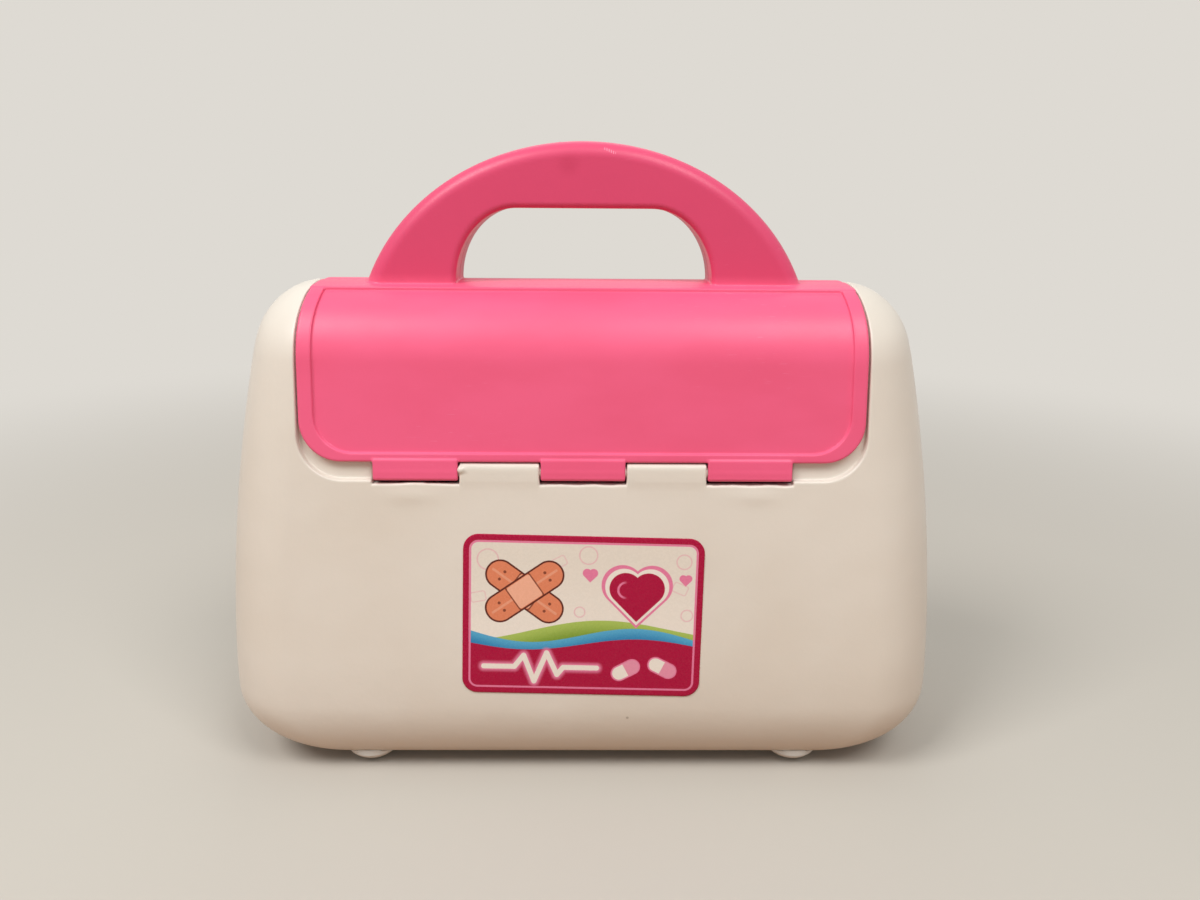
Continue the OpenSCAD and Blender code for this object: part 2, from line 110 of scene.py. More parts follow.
@dataclass(frozen=True)
class CaseProfile:
    """Outer form of the case: its side view, its front view and its upright corners, in millimetres."""

    width: float = 241.0
    depth: float = 95.0
    crown_z: float = 163.2
    crown_rise: float = 1.2
    lip_depth: float = 14.0
    corner_r: float = 24.0
    foot_z: float = 4.0
    foot_edge_depth: float = 13.0
    foot_edge_height: float = 24.0
    side_edge_r: float = 25.0
    upright_z: float = 32.0
    lean: float = math.radians(8.0)
    bend_z: float = 140.0
    bow_z: float = 36.0
    bow_r: float = 520.0
    shoulder_z: float = 144.0
    shoulder_x: float = 80.0
    shoulder_height: float = 19.3
    shoulder_power: float = 2.9
    corner_share: float = 0.96
    upright_k: float = 12.0
    crown_k: float = 0.5
    corner_k: float = 4.0
    net_foot_z: float = 5.0
    net_depth: float = 40.0

    @property
    def lip_z(self) -> float:
        """Height of the front edge of the crown."""
        return self.crown_z - self.crown_rise

    @property
    def crown_r(self) -> float:
        """Radius of the crown, seen from the side."""
        return (self.lip_depth**2 + self.crown_rise**2) / (2 * self.crown_rise)

    @property
    def arc(self) -> tuple[float, float, float]:
        """Half depth and height of the middle of the arc, and its radius."""
        foot = np.array([self.face(self.bend_z), self.bend_z])
        chord = np.array([self.lip_depth, self.lip_z]) - foot
        span = float(np.hypot(*chord))
        out = -math.cos(self.lean) * chord[0] - math.sin(self.lean) * chord[1]
        r = span * span / (2 * out)
        middle = foot - r * np.array([math.cos(self.lean), math.sin(self.lean)])
        return float(middle[0]), float(middle[1]), r

    def face(self, z: Numbers | float) -> Numbers:
        """Half depth of the flat face at height z, which leans back above its upright foot.

        Args:
            z: Height.

        Returns:
            The half depth.
        """
        rise = smooth_max(np.asarray(z - self.upright_z, dtype=float), np.zeros(1), self.upright_k)
        rise = rise.item() if np.ndim(z) == 0 else rise
        return self.depth / 2 - rise * math.tan(self.lean)

    def half_depth(self, z: Numbers) -> Numbers:
        """Half depth of the case at height z.

        Args:
            z: Height.

        Returns:
            The half depth.
        """
        arc_y, arc_z, arc_r = self.arc
        top = self.foot_z + self.foot_edge_height
        low = np.clip((top - z) / self.foot_edge_height, 0, 1)
        foot = self.foot_edge_depth * (1 - np.sqrt(1 - low * low))
        arc = arc_y + np.sqrt(np.maximum(arc_r**2 - (z - arc_z) ** 2, 0))
        crown_mid = self.crown_z - self.crown_r
        crown = np.sqrt(np.maximum(self.crown_r**2 - (z - crown_mid) ** 2, 0))
        upper = np.where(z < self.lip_z, arc, crown)
        return np.where(z < self.bend_z, self.face(z) - foot, upper)

    def half_width(self, z: Numbers) -> Numbers:
        """Half width of the case at height z.

        Args:
            z: Height.

        Returns:
            The half width.
        """
        top = self.foot_z + self.side_edge_r
        low = np.clip((top - z) / self.side_edge_r, 0, 1)
        foot = self.side_edge_r * (1 - np.sqrt(1 - low * low))
        side = self.width / 2 - np.maximum(z - self.bow_z, 0) ** 2 / (2 * self.bow_r) - foot
        rise = np.clip((z - self.shoulder_z) / self.shoulder_height, 0, 1)
        share = (1 - rise**self.shoulder_power) ** (1 / self.shoulder_power)
        return self.shoulder_x + (side - self.shoulder_x) * np.where(rise > 0, share, 1.0)

    def side_view(self, y: Numbers, z: Numbers) -> Numbers:
        """Depth below the face, the arc and the crown, as seen from the side.

        Args:
            y: Distance from the middle of the case, front or rear.
            z: Height.

        Returns:
            Negative inside the outline and positive outside it.
        """
        arc_y, arc_z, arc_r = self.arc
        d = np.abs(y)
        plane = (d - self.face(z)) * math.cos(self.lean)
        arc = np.hypot(d - arc_y, z - arc_z) - arc_r
        turned = (z - arc_z) * math.cos(self.lean) > (d - arc_y) * math.sin(self.lean)
        crown = np.hypot(y, z - self.crown_z + self.crown_r) - self.crown_r
        return smooth_max(np.where(turned, arc, plane), crown, self.crown_k)

    def level(self, x: Numbers, y: Numbers, z: Numbers) -> Numbers:
        """Sideways distance from the outline that the case has at height z.

        Args:
            x: Sideways place.
            y: Front-to-rear place.
            z: Height.

        Returns:
            Negative inside the outline and positive outside it.
        """
        d = self.half_depth(z)
        r = smooth_min(self.corner_share * d, np.full(1, self.corner_r), self.corner_k)
        return round_max(np.abs(x) - self.half_width(z), np.abs(y) - d, r)

    def outer(self, x: Numbers, y: Numbers, z: Numbers) -> Numbers:
        """Depth below the outer skin of the case.

        Args:
            x: Sideways place.
            y: Front-to-rear place.
            z: Height.

        Returns:
            The depth.
        """
        step = 0.04
        inside = np.clip(z, self.foot_z + 2 * step, self.crown_z - 4 * step)
        here = self.level(x, y, inside)
        slope = (self.level(x, y, inside + step) - self.level(x, y, inside - step)) / (2 * step)
        skin = here / np.sqrt(1 + slope * slope)
        return np.maximum(np.maximum(skin, self.foot_z - z), z - self.crown_z + 2 * step)

    def reach(self, z: Numbers) -> Numbers:
        """Stretch of a net's front-to-rear lines at height z, so that they follow the face."""
        return self.half_depth(np.clip(z, self.net_foot_z, self.lip_z)) / self.net_depth


@dataclass(frozen=True)
class DoorPlan:
    """Outline of a door as seen from the front, and the hinge line that it turns on, in millimetres."""

    profile: CaseProfile = field(default_factory=CaseProfile)
    half_w: float = 90.0
    foot_z: float = 109.0
    corner_r: float = 13.0
    thickness: float = 2.0
    seat_gap: float = 0.3
    side_gap: float = 0.7
    taper: float = 1.0
    taper_h: float = 14.0
    strip_half_w: float = 88.8
    lip_h: float = 1.8
    lip_out: float = 0.8
    seam_gap: float = 0.3
    knuckle_w: float = 27.0
    knuckle_pitch: float = 53.4
    hinge_y: float = 35.156
    hinge_z: float = 105.6
    bore_r: float = 1.66
    pin_r: float = 1.6
    pin_short: float = 0.4
    step_h: float = 0.5

    @property
    def pin_end(self) -> float:
        """Sideways place of the end of a pin, a little inside the outer knuckle."""
        return self.knuckle_pitch + self.knuckle_w / 2 - self.pin_short

    def drawn(self, z: Numbers) -> Numbers:
        """Half width of the flap at height z: straight, then drawn in below the strip."""
        s = np.clip((z - self.profile.lip_z + self.taper_h) / (self.taper_h - self.lip_h), 0, 1)
        return self.half_w - self.taper * s * s

    def edge(self, z: Numbers) -> Numbers:
        """Half width of the door at height z, with the wider strip on top."""
        step = np.clip((z - self.profile.lip_z + self.lip_h) / self.step_h, 0, 1)
        return self.drawn(z) + (self.strip_half_w - self.half_w + self.taper) * step

    def outline(self, x: Numbers, z: Numbers, grow: float, foot_z: float, r: float) -> Numbers:
        """Depth inside a door's outline, drawn out by grow, with its foot and bottom corners given."""
        return round_max(np.abs(x) - self.edge(z) - grow, foot_z - z, r)

    def from_knuckle(self, x: Numbers) -> Numbers:
        """Sideways distance from the middle of the nearest knuckle."""
        return x - self.knuckle_pitch * np.clip(np.round(x / self.knuckle_pitch), -1, 1)

    def from_hinge(self, y: Numbers, z: Numbers) -> Numbers:
        """Distance from the hinge line of the front door."""
        return np.hypot(y + self.hinge_y, z - self.hinge_z)


@dataclass(frozen=True)
class Net:
    """A net of faces laid over a depth, on lines whose front-to-rear places follow the case."""

    depth: Depth
    xs: Numbers
    ys: Numbers
    zs: Numbers
    reach: Callable[[Numbers], Numbers]
    settle_rounds: int = 4
    settle_read: float = 0.02
    settle_stride: float = 0.4
    least_slope: float = 0.2
    normal_read: float = 0.06
    tiny: float = 1e-9

    def place(self, q: Numbers) -> Numbers:
        """Points in millimetres for places q on the lines."""
        return np.stack([q[:, 0], q[:, 1] * self.reach(q[:, 2]), q[:, 2]], 1)

    def sample(self) -> Numbers:
        """Depth at every crossing of the lines.

        Returns:
            One depth for each crossing.
        """
        z = self.zs[None, None, :]
        y = self.ys[None, :, None] * self.reach(z)
        shape = (len(self.xs), len(self.ys), len(self.zs))
        return np.broadcast_to(self.depth(self.xs[:, None, None], y, z), shape)

    def gradient(self, p: Numbers, step: float) -> Numbers:
        """Steepest way out of the form at each point.

        Args:
            p: Points in millimetres.
            step: How far to each side the depth is read.

        Returns:
            One direction for each point.
        """
        parts = []
        for k in range(3):
            shift = np.zeros(3)
            shift[k] = step
            parts.append(self.depth(*(p + shift).T) - self.depth(*(p - shift).T))
        return np.stack(parts, 1) / (2 * step)

    def crossings(self, values: Numbers, axis: int) -> tuple[Numbers, Numbers, Numbers]:
        """Where the skin cuts the lines that run along one axis.

        Args:
            values: Depth at every crossing of the lines.
            axis: The axis.

        Returns:
            The cell numbers of each cut line, the cut points, and whether the low end is inside.
        """
        n = values.shape[axis]
        low = np.take(values, range(n - 1), axis) < 0
        high = np.take(values, range(1, n), axis) < 0
        at = np.argwhere(low != high)
        up = at.copy()
        up[:, axis] += 1
        a, b = values[tuple(at.T)], values[tuple(up.T)]
        lines = (self.xs, self.ys, self.zs)
        q = np.stack([lines[k][at[:, k]] for k in range(3)], 1)
        q[:, axis] += a / (a - b) * (lines[axis][up[:, axis]] - lines[axis][at[:, axis]])
        return at, q, a < 0

    def build(self) -> tuple[Numbers, Numbers, Numbers]:
        """Lays the net.

        Returns:
            Its points in millimetres, the four points of each face, and the outward directions.
        """
        values = self.sample()
        cells = np.array(values.shape) - 1
        total = int(np.prod(cells))
        count = np.zeros(total)
        sums = [np.zeros(total) for _ in range(3)]
        quads = []
        for axis in range(3):
            at, q, inside = self.crossings(values, axis)
            one, two = (axis + 1) % 3, (axis + 2) % 3
            ring = []
            for a, b in ((1, 1), (0, 1), (0, 0), (1, 0)):
                cell = at.copy()
                cell[:, one] -= a
                cell[:, two] -= b
                ring.append(np.ravel_multi_index(tuple(cell.T), tuple(cells)))
                count += np.bincount(ring[-1], minlength=total)
                for k in range(3):
                    sums[k] += np.bincount(ring[-1], weights=q[:, k], minlength=total)
            quad = np.stack(ring, 1)
            quads.append(np.where(inside[:, None], quad, quad[:, ::-1]))
        used = np.flatnonzero(count)
        number = np.full(total, -1)
        number[used] = np.arange(len(used))
        p = self.place(np.stack([s[used] / count[used] for s in sums], 1))
        for _ in range(self.settle_rounds):
            g = self.gradient(p, self.settle_read)
            move = (self.depth(*p.T) / np.maximum((g * g).sum(1), self.least_slope))[:, None] * g
            length = np.maximum(np.linalg.norm(move, axis=1, keepdims=True), self.tiny)
            p = p - move * np.minimum(1, self.settle_stride / length)
        normals = self.gradient(p, self.normal_read)
        normals /= np.maximum(np.linalg.norm(normals, axis=1, keepdims=True), self.tiny)
        return p, number[np.concatenate(quads)], normals


def lines(start: float, *runs: tuple[float, float]) -> Numbers:
    """Places of grid lines.

    Args:
        start: First place.
        runs: End and widest spacing of each run, which starts where the one before it ends.

    Returns:
        All places in rising order.
    """
    places = [np.array([start])]
    for end, spacing in runs:
        last = places[-1][-1]
        places.append(np.linspace(last, end, math.ceil((end - last) / spacing) + 1)[1:])
    return np.concatenate(places)


def both_sides(places: Numbers) -> Numbers:
    """Places mirrored about zero."""
    return np.unique(np.concatenate([-places, places]))


def linked(name: str, data: bpy.types.ID) -> bpy.types.Object:
    """Makes an object from its data and links it to the scene.

    Args:
        name: Name of the object.
        data: Its mesh, lamp or camera.

    Returns:
        The new object.
    """
    made = bpy.data.objects.new(name, data)
    bpy.context.scene.collection.objects.link(made)
    return made


def net_object(name: str, net: Net, finish: bpy.types.Material) -> bpy.types.Object:
    """Makes a smooth-shaded object from a net.

    Args:
        name: Name of the piece.
        net: The net, in millimetres.
        finish: Material of the piece.

    Returns:
        The new object.
    """
    points, faces, normals = net.build()
    mesh = bpy.data.meshes.new(name)
    mesh.vertices.add(len(points))
    mesh.vertices.foreach_set("co", (points * MM).astype(np.float32).ravel())
    mesh.loops.add(faces.size)
    mesh.loops.foreach_set("vertex_index", faces.astype(np.int32).ravel())
    mesh.polygons.add(len(faces))
    mesh.polygons.foreach_set("loop_start", np.arange(0, faces.size, 4, dtype=np.int32))
    mesh.polygons.foreach_set("use_smooth", np.ones(len(faces), bool))
    mesh.update(calc_edges=True)
    mesh.validate()
    mesh.normals_split_custom_set_from_vertices(normals.astype(np.float32))
    mesh.materials.append(finish)
    return linked(name, mesh)


def join_rings(form: bmesh.types.BMesh, rings: list[list[bmesh.types.BMVert]]) -> None:
    """Joins rings of points, one to the next, by four-sided faces.

    Args:
        form: Form that holds the points.
        rings: The rings, all with the same number of points.
    """
    for low, high in zip(rings, rings[1:]):
        for k, vert in enumerate(low):
            n = (k + 1) % len(low)
            form.faces.new((vert, low[n], high[n], high[k]))


def form_object(name: str, form: bmesh.types.BMesh, finish: bpy.types.Material) -> bpy.types.Object:
    """Makes a smooth-shaded object from a form in metres, and frees the form.

    Args:
        name: Name of the piece.
        form: The form.
        finish: Material of the piece.

    Returns:
        The new object.
    """
    for face in form.faces:
        face.smooth = True
    mesh = bpy.data.meshes.new(name)
    form.to_mesh(mesh)
    form.free()
    mesh.materials.append(finish)
    return linked(name, mesh)


def dress(piece: bpy.types.Object, body: str, node: str) -> bpy.types.Object:
    """Says what a piece is part of.

    Args:
        piece: The piece.
        body: Body that it rides on.
        node: Solid that it stands for.

    Returns:
        The piece.
    """
    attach(piece, body)
    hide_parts(node)
    return piece


Value = "Socket | float | Sequence[float]"


def math_node(operation: str, swapped: bool = False) -> Callable[..., "Socket"]:
    """Makes an operator of Socket that adds one Math node.

    Args:
        operation: What the node works out.
        swapped: Whether the other value comes first, as in 1 - mask.

    Returns:
        The operator.
    """

    def add(this: "Socket", *others: Value) -> "Socket":
        """Adds the node behind this socket and the other values."""
        return this.paint.math(operation, *((*others, this) if swapped else (this, *others)))

    return add


class Socket:
    """An output of a node, on which Python's operators add the Math nodes of an expression."""

    __add__ = __radd__ = math_node("ADD")
    __sub__ = math_node("SUBTRACT")
    __rsub__ = math_node("SUBTRACT", swapped=True)
    __mul__ = __rmul__ = math_node("MULTIPLY")
    __truediv__ = math_node("DIVIDE")
    __rtruediv__ = math_node("DIVIDE", swapped=True)
    __pow__ = math_node("POWER")
    __abs__ = math_node("ABSOLUTE")
    sin = math_node("SINE")
    max = math_node("MAXIMUM")
    min = math_node("MINIMUM")

    def __init__(self, paint: "Paint", link: bpy.types.NodeSocket) -> None:
        """Keeps the material and the socket."""
        self.paint = paint
        self.link = link

    def __neg__(self) -> "Socket":
        """Negative value."""
        return self * -1.0

    def fade(self, start: float, end: float, low: float = 0.0, high: float = 1.0) -> "Socket":
        """Goes smoothly from low at start to high at end, and stays there outside them.

        Args:
            start: Value up to which it is low.
            end: Value from which it is high.
            low: What it gives at the start.
            high: What it gives at the end.

        Returns:
            The value.
        """
        made = self.paint.node(
            "ShaderNodeMapRange",
            {"interpolation_type": "SMOOTHSTEP"},
            {"Value": self, "From Min": start, "From Max": end, "To Min": low, "To Max": high},
        )
        return Socket(self.paint, made.outputs["Result"])


class Paint:
    """A material under construction: a shader and the nodes that feed it."""

    MIX_COLORS = {"data_type": "RGBA", "clamp_factor": True}

    def __init__(self, name: str) -> None:
        """Starts a material with one Principled shader.

        Args:
            name: Name of the material.
        """
        self.material = bpy.data.materials.new(name)
        self.material.use_nodes = True
        self.tree = self.material.node_tree
        self.shader = self.tree.nodes["Principled BSDF"]

    @classmethod
    def over(cls, tree: bpy.types.NodeTree) -> "Paint":
        """Takes over a node tree that has no Principled shader, such as the world's.

        Args:
            tree: The node tree.

        Returns:
            What adds nodes to the tree.
        """
        paint = cls.__new__(cls)
        paint.tree = tree
        return paint

    def feed(self, target: bpy.types.NodeSocket, value: Value) -> None:
        """Links a socket, or sets a number or a colour, on a node's input.

        Args:
            target: The input.
            value: What it gets.
        """
        if isinstance(value, Socket):
            self.tree.links.new(value.link, target)
        elif hasattr(target.default_value, "__len__") and not hasattr(value, "__len__"):
            target.default_value = [value] * len(target.default_value)
        elif hasattr(value, "__len__"):
            target.default_value = (*value, 1.0)[: len(target.default_value)]
        else:
            target.default_value = value

    def node(self, kind: str, settings: dict, inputs: dict) -> bpy.types.Node:
        """Adds a node.

        Args:
            kind: Type name of the node.
            settings: Its own settings, which are set first.
            inputs: Values or links of its sockets, by name or number.

        Returns:
            The new node.
        """
        made = self.tree.nodes.new(kind)
        for key, value in settings.items():
            setattr(made, key, value)
        for key, value in inputs.items():
            self.feed(made.inputs[key], value)
        return made

    def math(self, operation: str, *values: Value) -> Socket:
        """Adds a Math node."""
        made = self.node("ShaderNodeMath", {"operation": operation}, dict(enumerate(values)))
        return Socket(self, made.outputs[0])

    def mix(self, share: Value, low: Value, high: Value) -> Socket:
        """Mixes a share of the high colour into the low one."""
        inputs = {0: share, 6: low, 7: high}
        return Socket(self, self.node("ShaderNodeMix", self.MIX_COLORS, inputs).outputs[2])

    def place(self) -> Socket:
        """Place on the piece, in metres, which moves with it."""
        return Socket(self, self.node("ShaderNodeTexCoord", {}, {}).outputs["Object"])

    def split(self, vector: Socket) -> tuple[Socket, Socket, Socket]:
        """The three parts of a vector."""
        made = self.node("ShaderNodeSeparateXYZ", {}, {0: vector})
        return tuple(Socket(self, output) for output in made.outputs)

    def scaled(self, vector: Socket, factors: Sequence[float]) -> Socket:
        """A vector stretched by a factor in each direction."""
        made = self.node("ShaderNodeVectorMath", {"operation": "MULTIPLY"}, {0: vector, 1: factors})
        return Socket(self, made.outputs[0])

    def noise(self, vector: Socket, scale: float, detail: float = 2.0, rough: float = 0.5) -> Socket:
        """Cloudy values round one half, with scale clouds in a metre and detail octaves."""
        inputs = {"Vector": vector, "Scale": scale, "Detail": detail, "Roughness": rough}
        return Socket(self, self.node("ShaderNodeTexNoise", {}, inputs).outputs[0])

    def specks(self, vector: Socket, scale: float, size: float) -> Socket:
        """Scattered dots: 1 inside a dot of the given size, as a share of their spacing.

        Args:
            vector: Where it is read.
            scale: Dots in a metre.
            size: Radius of a dot, as a share of their spacing.

        Returns:
            The value.
        """
        inputs = {"Vector": vector, "Scale": scale, "Randomness": 1.0}
        made = self.node("ShaderNodeTexVoronoi", {"feature": "F1"}, inputs)
        return Socket(self, made.outputs["Distance"]).fade(size, size * 0.5)

    def bump(self, height: Socket, distance: float) -> Socket:
        """Turns a height into a surface direction; distance is the full height in metres."""
        inputs = {"Height": height, "Distance": distance}
        return Socket(self, self.node("ShaderNodeBump", {}, inputs).outputs[0])

    def finish(self, **inputs: Value) -> bpy.types.Material:
        """Feeds the shader, with spaces of its socket names written as underscores.

        Args:
            inputs: Value or link of each socket.

        Returns:
            The material.
        """
        for key, value in inputs.items():
            self.feed(self.shader.inputs[key.replace("_", " ")], value)
        return self.material


def tint(red: int, green: int, blue: int) -> Color:
    """A colour as the screen shows it, in numbers to 255, turned into the shader's own scale.

    Args:
        red: Red.
        green: Green.
        blue: Blue.

    Returns:
        The colour.
    """
    return tuple(
        v / 12.92 if v <= 0.04045 else ((v + 0.055) / 1.055) ** 2.4
        for v in (red / 255, green / 255, blue / 255)
    )


@dataclass
class Stencil:
    """Flat shapes on two coordinates in millimetres, as distances that are negative inside them."""

    paint: Paint
    a: Socket
    b: Socket

    def turned(self, x: float, y: float, angle: float) -> tuple[Socket, Socket]:
        """Coordinates about a point, on axes turned by an angle.

        Args:
            x: First coordinate of the point.
            y: Second coordinate of the point.
            angle: Turn in radians.

        Returns:
            The two coordinates.
        """
        c, s = math.cos(angle), math.sin(angle)
        along, up = self.a - x, self.b - y
        return along * c + up * s, up * c - along * s

    def disc(self, x: float, y: float, r: float) -> Socket:
        """Disc about a point."""
        u, v = self.a - x, self.b - y
        return (u * u + v * v) ** 0.5 - r

    def slab(self, x: float, y: float, half_w: float, half_h: float, angle: float, r: float) -> Socket:
        """Rectangle with rounded corners.

        Args:
            x: Middle, first coordinate.
            y: Middle, second coordinate.
            half_w: Half of its length.
            half_h: Half of its height.
            angle: Turn in radians.
            r: Radius of its corners.

        Returns:
            The distance.
        """
        u, v = self.turned(x, y, angle)
        p, q = abs(u) - (half_w - r), abs(v) - (half_h - r)
        corner = (p.max(0.0) * p.max(0.0) + q.max(0.0) * q.max(0.0)) ** 0.5
        return corner + p.max(q).min(0.0) - r

    def stroke(self, start: Sequence[float], end: Sequence[float], r: float) -> Socket:
        """Straight line with round ends and half width r.

        Args:
            start: First end.
            end: Last end.
            r: Half width.

        Returns:
            The distance.
        """
        run, rise = end[0] - start[0], end[1] - start[1]
        u, v = self.turned((start[0] + end[0]) / 2, (start[1] + end[1]) / 2, math.atan2(rise, run))
        p = (abs(u) - math.hypot(run, rise) / 2).max(0.0)
        return (p * p + v * v) ** 0.5 - r

    def trail(self, points: Sequence[Sequence[float]], r: float) -> Socket:
        """Line of strokes from point to point.

        Args:
            points: The points.
            r: Half width.

        Returns:
            The distance.
        """
        made = self.stroke(points[0], points[1], r)
        for start, end in zip(points[1:], points[2:]):
            made = made.min(self.stroke(start, end, r))
        return made

    def heart(self, x: float, y: float, width: float) -> Socket:
        """Heart made of a square on its corner and two discs.

        Args:
            x: Middle, first coordinate.
            y: Middle, second coordinate.
            width: Full width.

        Returns:
            The distance.
        """
        side = width / 1.707
        u, v = abs(self.a - x), self.b - y
        square = (u + abs(v)) * math.sqrt(0.5) - side / 2
        p, q = u - side * math.sqrt(0.125), v - side * math.sqrt(0.125)
        return square.min((p * p + q * q) ** 0.5 - side / 2)

    def ink(self, under: Value, shape: Socket, color: Value, share: Value = 1.0) -> Socket:
        """Prints a shape in a colour over what lies under it."""
        return self.paint.mix(shape.fade(0.1, -0.1) * share, under, color)


@dataclass(frozen=True)
class WhiteMoulding:
    """Warm white blow-moulded polyethylene: satin, faintly cloudy, with specks and scuffs."""

    name: str = "case_white"
    color: Color = tint(225, 218, 208)
    shade: Color = tint(219, 210, 198)
    speck: Color = tint(140, 126, 110)

    def material(self) -> bpy.types.Material:
        """Builds the material.

        Returns:
            The material.
        """
        paint = Paint(self.name)
        place = paint.place()
        clouds = paint.noise(place, 14.0, 3.0, 0.45)
        specks = paint.specks(place, 55.0, 0.035) * paint.noise(place, 23.0).fade(0.52, 0.6)
        scuffs = paint.noise(paint.scaled(place, (90.0, 90.0, 900.0)), 3.0, 2.0).fade(0.66, 0.74)
        scuffs = scuffs * paint.noise(place, 9.0).fade(0.5, 0.68)
        color = paint.mix(clouds.fade(0.35, 0.68), self.color, self.shade)
        color = paint.mix(specks * 0.55, color, self.speck)
        ripple = paint.noise(place, 75.0, 2.0, 0.4) + paint.noise(place, 620.0, 2.0, 0.5) * 0.12
        return paint.finish(
            Base_Color=color,
            Roughness=paint.noise(place, 60.0, 2.0).fade(0.3, 0.7, 0.3, 0.38) + scuffs * 0.18,
            Normal=paint.bump(ripple, 0.00022),
            IOR=1.5,
        )


@dataclass(frozen=True)
class PinkMoulding:
    """Bright pink injection-moulded polypropylene: satin, with faint flow marks and fine scratches, and
    painted shade on the handle.
    """

    name: str = "door_pink"
    color: Color = tint(241, 97, 138)
    shade: Color = tint(236, 91, 130)
    # Darker pink painted on the handle as painted shade, standing in for the shade on its upright front
    # face.
    handle_shade: Color = tint(222, 74, 116)
    worn: Color = tint(246, 150, 178)
    mark: Color = tint(206, 60, 100)
    # Heights in metres over which the painted handle shade fades in, from the strip up to the handle.
    handle_shade_z: tuple[float, float] = (0.1622, 0.1664)
    gate_xz: tuple[float, float] = (-5.0, 200.5)
    scrape_xz: tuple[tuple[float, float], ...] = ((6.6, 205.2), (9.6, 203.9))

    def material(self) -> bpy.types.Material:
        """Builds the material.

        Returns:
            The material.
        """
        paint = Paint(self.name)
        place = paint.place()
        x, _, z = paint.split(place)
        handle = Stencil(paint, x / MM, z / MM)
        scrape = handle.stroke(*self.scrape_xz, 0.35).fade(0.25, -0.1)
        scrape = scrape * (x / MM * 9.0).sin().fade(-0.2, 0.4)
        gate = handle.disc(*self.gate_xz, 0.0).fade(5.0, 0.5) * 0.5
        flow = paint.noise(paint.scaled(place, (1.0, 2.2, 2.2)), 18.0, 3.0, 0.5)
        grain = paint.noise(place, 1900.0, 1.0)
        scratch = paint.noise(paint.scaled(place, (60.0, 60.0, 1100.0)), 3.0, 2.0).fade(0.68, 0.75)
        scratch = scratch * paint.noise(place, 16.0).fade(0.5, 0.66)
        color = paint.mix(flow.fade(0.34, 0.7), self.color, self.shade)
        # Painted shade: everything above the strip, which is the handle, is mixed to a darker pink in
        # place of the shade on its upright front face.
        color = paint.mix(z.fade(*self.handle_shade_z), color, self.handle_shade)
        color = paint.mix(gate, color, self.mark)
        color = paint.mix((scratch * 0.35).max(scrape * 0.7), color, self.worn)
        height = paint.noise(place, 60.0, 2.0, 0.4) + grain * 0.07
        return paint.finish(
            Base_Color=color,
            Roughness=grain.fade(0.2, 0.8, 0.35, 0.43) + scratch * 0.12,
            Normal=paint.bump(height, 0.00016),
            IOR=1.49,
            Specular_IOR_Level=0.42,
        )


@dataclass(frozen=True)
class PinRod:
    """Smooth white plastic rod with faint drawing lines round it."""

    name: str = "pin_white"
    color: Color = tint(236, 231, 222)
    shade: Color = tint(222, 214, 202)

    def material(self) -> bpy.types.Material:
        """Builds the material.

        Returns:
            The material.
        """
        paint = Paint(self.name)
        place = paint.place()
        drawn = paint.noise(paint.scaled(place, (30.0, 1500.0, 1500.0)), 1.0, 2.0)
        return paint.finish(
            Base_Color=paint.mix(drawn.fade(0.3, 0.7), self.color, self.shade),
            Roughness=drawn.fade(0.3, 0.7, 0.28, 0.4),
            Normal=paint.bump(drawn, 0.00003),
        )


@dataclass(frozen=True)
class FootRubber:
    """Soft whitish dome, slightly cloudy, with dust where it meets the table."""

    name: str = "foot_soft"
    color: Color = tint(226, 228, 226)
    dust: Color = tint(186, 178, 166)

    def material(self) -> bpy.types.Material:
        """Builds the material.

        Returns:
            The material.
        """
        paint = Paint(self.name)
        place = paint.place()
        height = paint.split(place)[2]
        clouds = paint.noise(place, 300.0, 3.0)
        dust = height.fade(0.0012, 0.0001) * clouds.fade(0.3, 0.6)
        return paint.finish(
            Base_Color=paint.mix(dust * 0.8, self.color, self.dust),
            Roughness=clouds.fade(0.3, 0.7, 0.4, 0.52) + dust * 0.3,
            Normal=paint.bump(clouds, 0.00006),
        )


